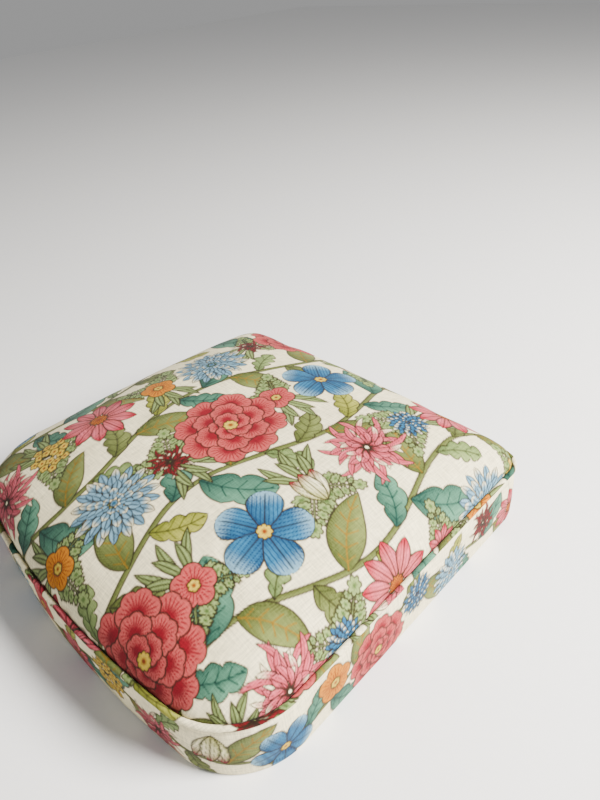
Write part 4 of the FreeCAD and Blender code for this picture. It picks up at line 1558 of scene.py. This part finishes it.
def make_stitches():
    """Thread in the crease under the piping, and down the two border seams."""
    line, outward = on_outline(np.linspace(0, PERIMETER, SEAM_POINTS, endpoint=False))
    crease = np.column_stack([line + outward * CREASE_OUT, np.full(len(line), PIPING_Z - CREASE_DOWN)])
    runs = [(crease, True)]
    heights, offsets, facing = border_profile()[:3]
    wall = facing == 0
    for place in (SEAM_PLACE, PERIMETER - SEAM_PLACE):
        spot, way = on_outline(np.array([place]))
        out = spot + way * (offsets[wall] - SEAM_GROOVE * 0.8)[:, None]
        runs.append((np.column_stack([out, heights[wall]])[3:], False))
    tree, identifiers = stitch_tree()
    piece = grown(
        "seam_stitches", runs, tree, identifiers,
        {
            "Pitch": STITCH_PITCH,
            "Stitch Size": (STITCH_LENGTH, THREAD_WIDTH, THREAD_WIDTH),
            "Looseness": THREAD_LOOSENESS,
            "Seed": SEED,
            "Thread": THREAD,
        },
    )
    finished(piece, THREAD)


make_stitches()


# ---------------------------------------------------------------- frame parts
NODE_FINISHES = {
    BEECH_ACROSS: ["front_rail", "rear_rail"],
    BEECH_ALONG: [
        "left_rail", "right_rail",
        "corner_block_front_left", "corner_block_front_right",
        "corner_block_rear_left", "corner_block_rear_right",
    ],
    BEECH_DOWEL: ["rail_dowels"],
    SCREW_STEEL: ["corner_block_screws"],
    ZINC_STEEL: ["t_nuts"],
    STAPLE_WIRE: ["webbing_staples", "hessian_staples", "cover_staples", "bottom_cloth_staples"],
    JUTE: [f"webbing_{way}_{number}" for way in ("long", "cross") for number in range(1, 6)],
    HESSIAN: ["hessian_cloth"],
    WADDING: ["border_wadding"],
    CORD: ["piping_cord"],
}
for finish, names in NODE_FINISHES.items():
    for name in names:
        for place in frame["nodes"][name].material_slots:
            place.material = finish


# ---------------------------------------------------------------- camera, light and floor
LENS, SENSOR_WIDTH = 29.25, 36  # in millimetres
CLIP_START = 0.01
CAMERA_TURNS = (-48.9, 35.0, -5.7)  # azimuth, angle below level and roll, in degrees
CAMERA_PLACE = (0.528, -0.340, 0.627)
MIDDLE = (0, 0, 0.1)
FLOOR_REACH = 6.0
FLOOR_GAP = 0.0004  # keeps the floor clear of the bottom cloth
WORLD_STRENGTH = 0.34


def way_of(azimuth, down):
    """The unit vector at an azimuth, turning from +Y towards +X, and an angle below level."""
    level = math.cos(down)
    return Vector((math.sin(azimuth) * level, math.cos(azimuth) * level, -math.sin(down)))


def make_camera():
    camera = bpy.data.objects.new("camera", bpy.data.cameras.new("camera"))
    bpy.context.scene.collection.objects.link(camera)
    camera.data.lens = LENS
    camera.data.sensor_width = SENSOR_WIDTH
    camera.data.clip_start = CLIP_START
    azimuth, down, roll = [math.radians(turn) for turn in CAMERA_TURNS]
    ahead = way_of(azimuth, down)
    right = Vector((math.cos(azimuth), -math.sin(azimuth), 0))
    up = right.cross(ahead)
    axis_x = right * math.cos(roll) + up * math.sin(roll)
    axis_y = up * math.cos(roll) - right * math.sin(roll)
    turned = Matrix((axis_x, axis_y, -ahead)).transposed()
    camera.matrix_world = Matrix.LocRotScale(Vector(CAMERA_PLACE), turned, None)
    bpy.context.scene.camera = camera


def make_light(name, place, target, size, power, colour):
    lamp = bpy.data.lights.new(name, "AREA")
    lamp.shape = "DISK"
    lamp.size = size
    lamp.energy = power
    lamp.color = colour
    made = bpy.data.objects.new(name, lamp)
    bpy.context.scene.collection.objects.link(made)
    way = Vector(target) - Vector(place)
    made.matrix_world = Matrix.LocRotScale(Vector(place), way.to_track_quat("-Z", "Y"), None)


def make_floor():
    corners = ((-1, -1), (1, -1), (1, 1), (-1, 1))
    points = [(x * FLOOR_REACH, y * FLOOR_REACH, -FLOOR_GAP) for x, y in corners]
    floor = new_object("floor", points, [(0, 1, 2, 3)])
    material, tree, shader = new_material("pale_floor", roughness=0.9)
    fibres = place_group(tree, FIBRES, Vector=object_place(tree), Scale=40.0)
    tint = maths(tree, "MULTIPLY", fibres.outputs["Height"], 1.0)
    tree.links.new(mixed(tree, tint, (0.84, 0.84, 0.84), (0.88, 0.88, 0.88)), shader.inputs["Base Color"])
    floor.data.materials.append(material)


def make_world():
    world = bpy.data.worlds.new("studio")
    world.use_nodes = True
    backdrop = world.node_tree.nodes["Background"]
    backdrop.inputs["Color"].default_value = (1.0, 1.0, 1.0, 1)
    backdrop.inputs["Strength"].default_value = WORLD_STRENGTH
    bpy.context.scene.world = world


make_camera()
make_light("window", (1.75, 0.85, 1.6), MIDDLE, 1.0, 290, (1.0, 0.96, 0.90))
make_light("fill", (-1.2, -1.6, 1.2), MIDDLE, 1.8, 3, (0.94, 0.97, 1.0))
make_floor()
make_world()
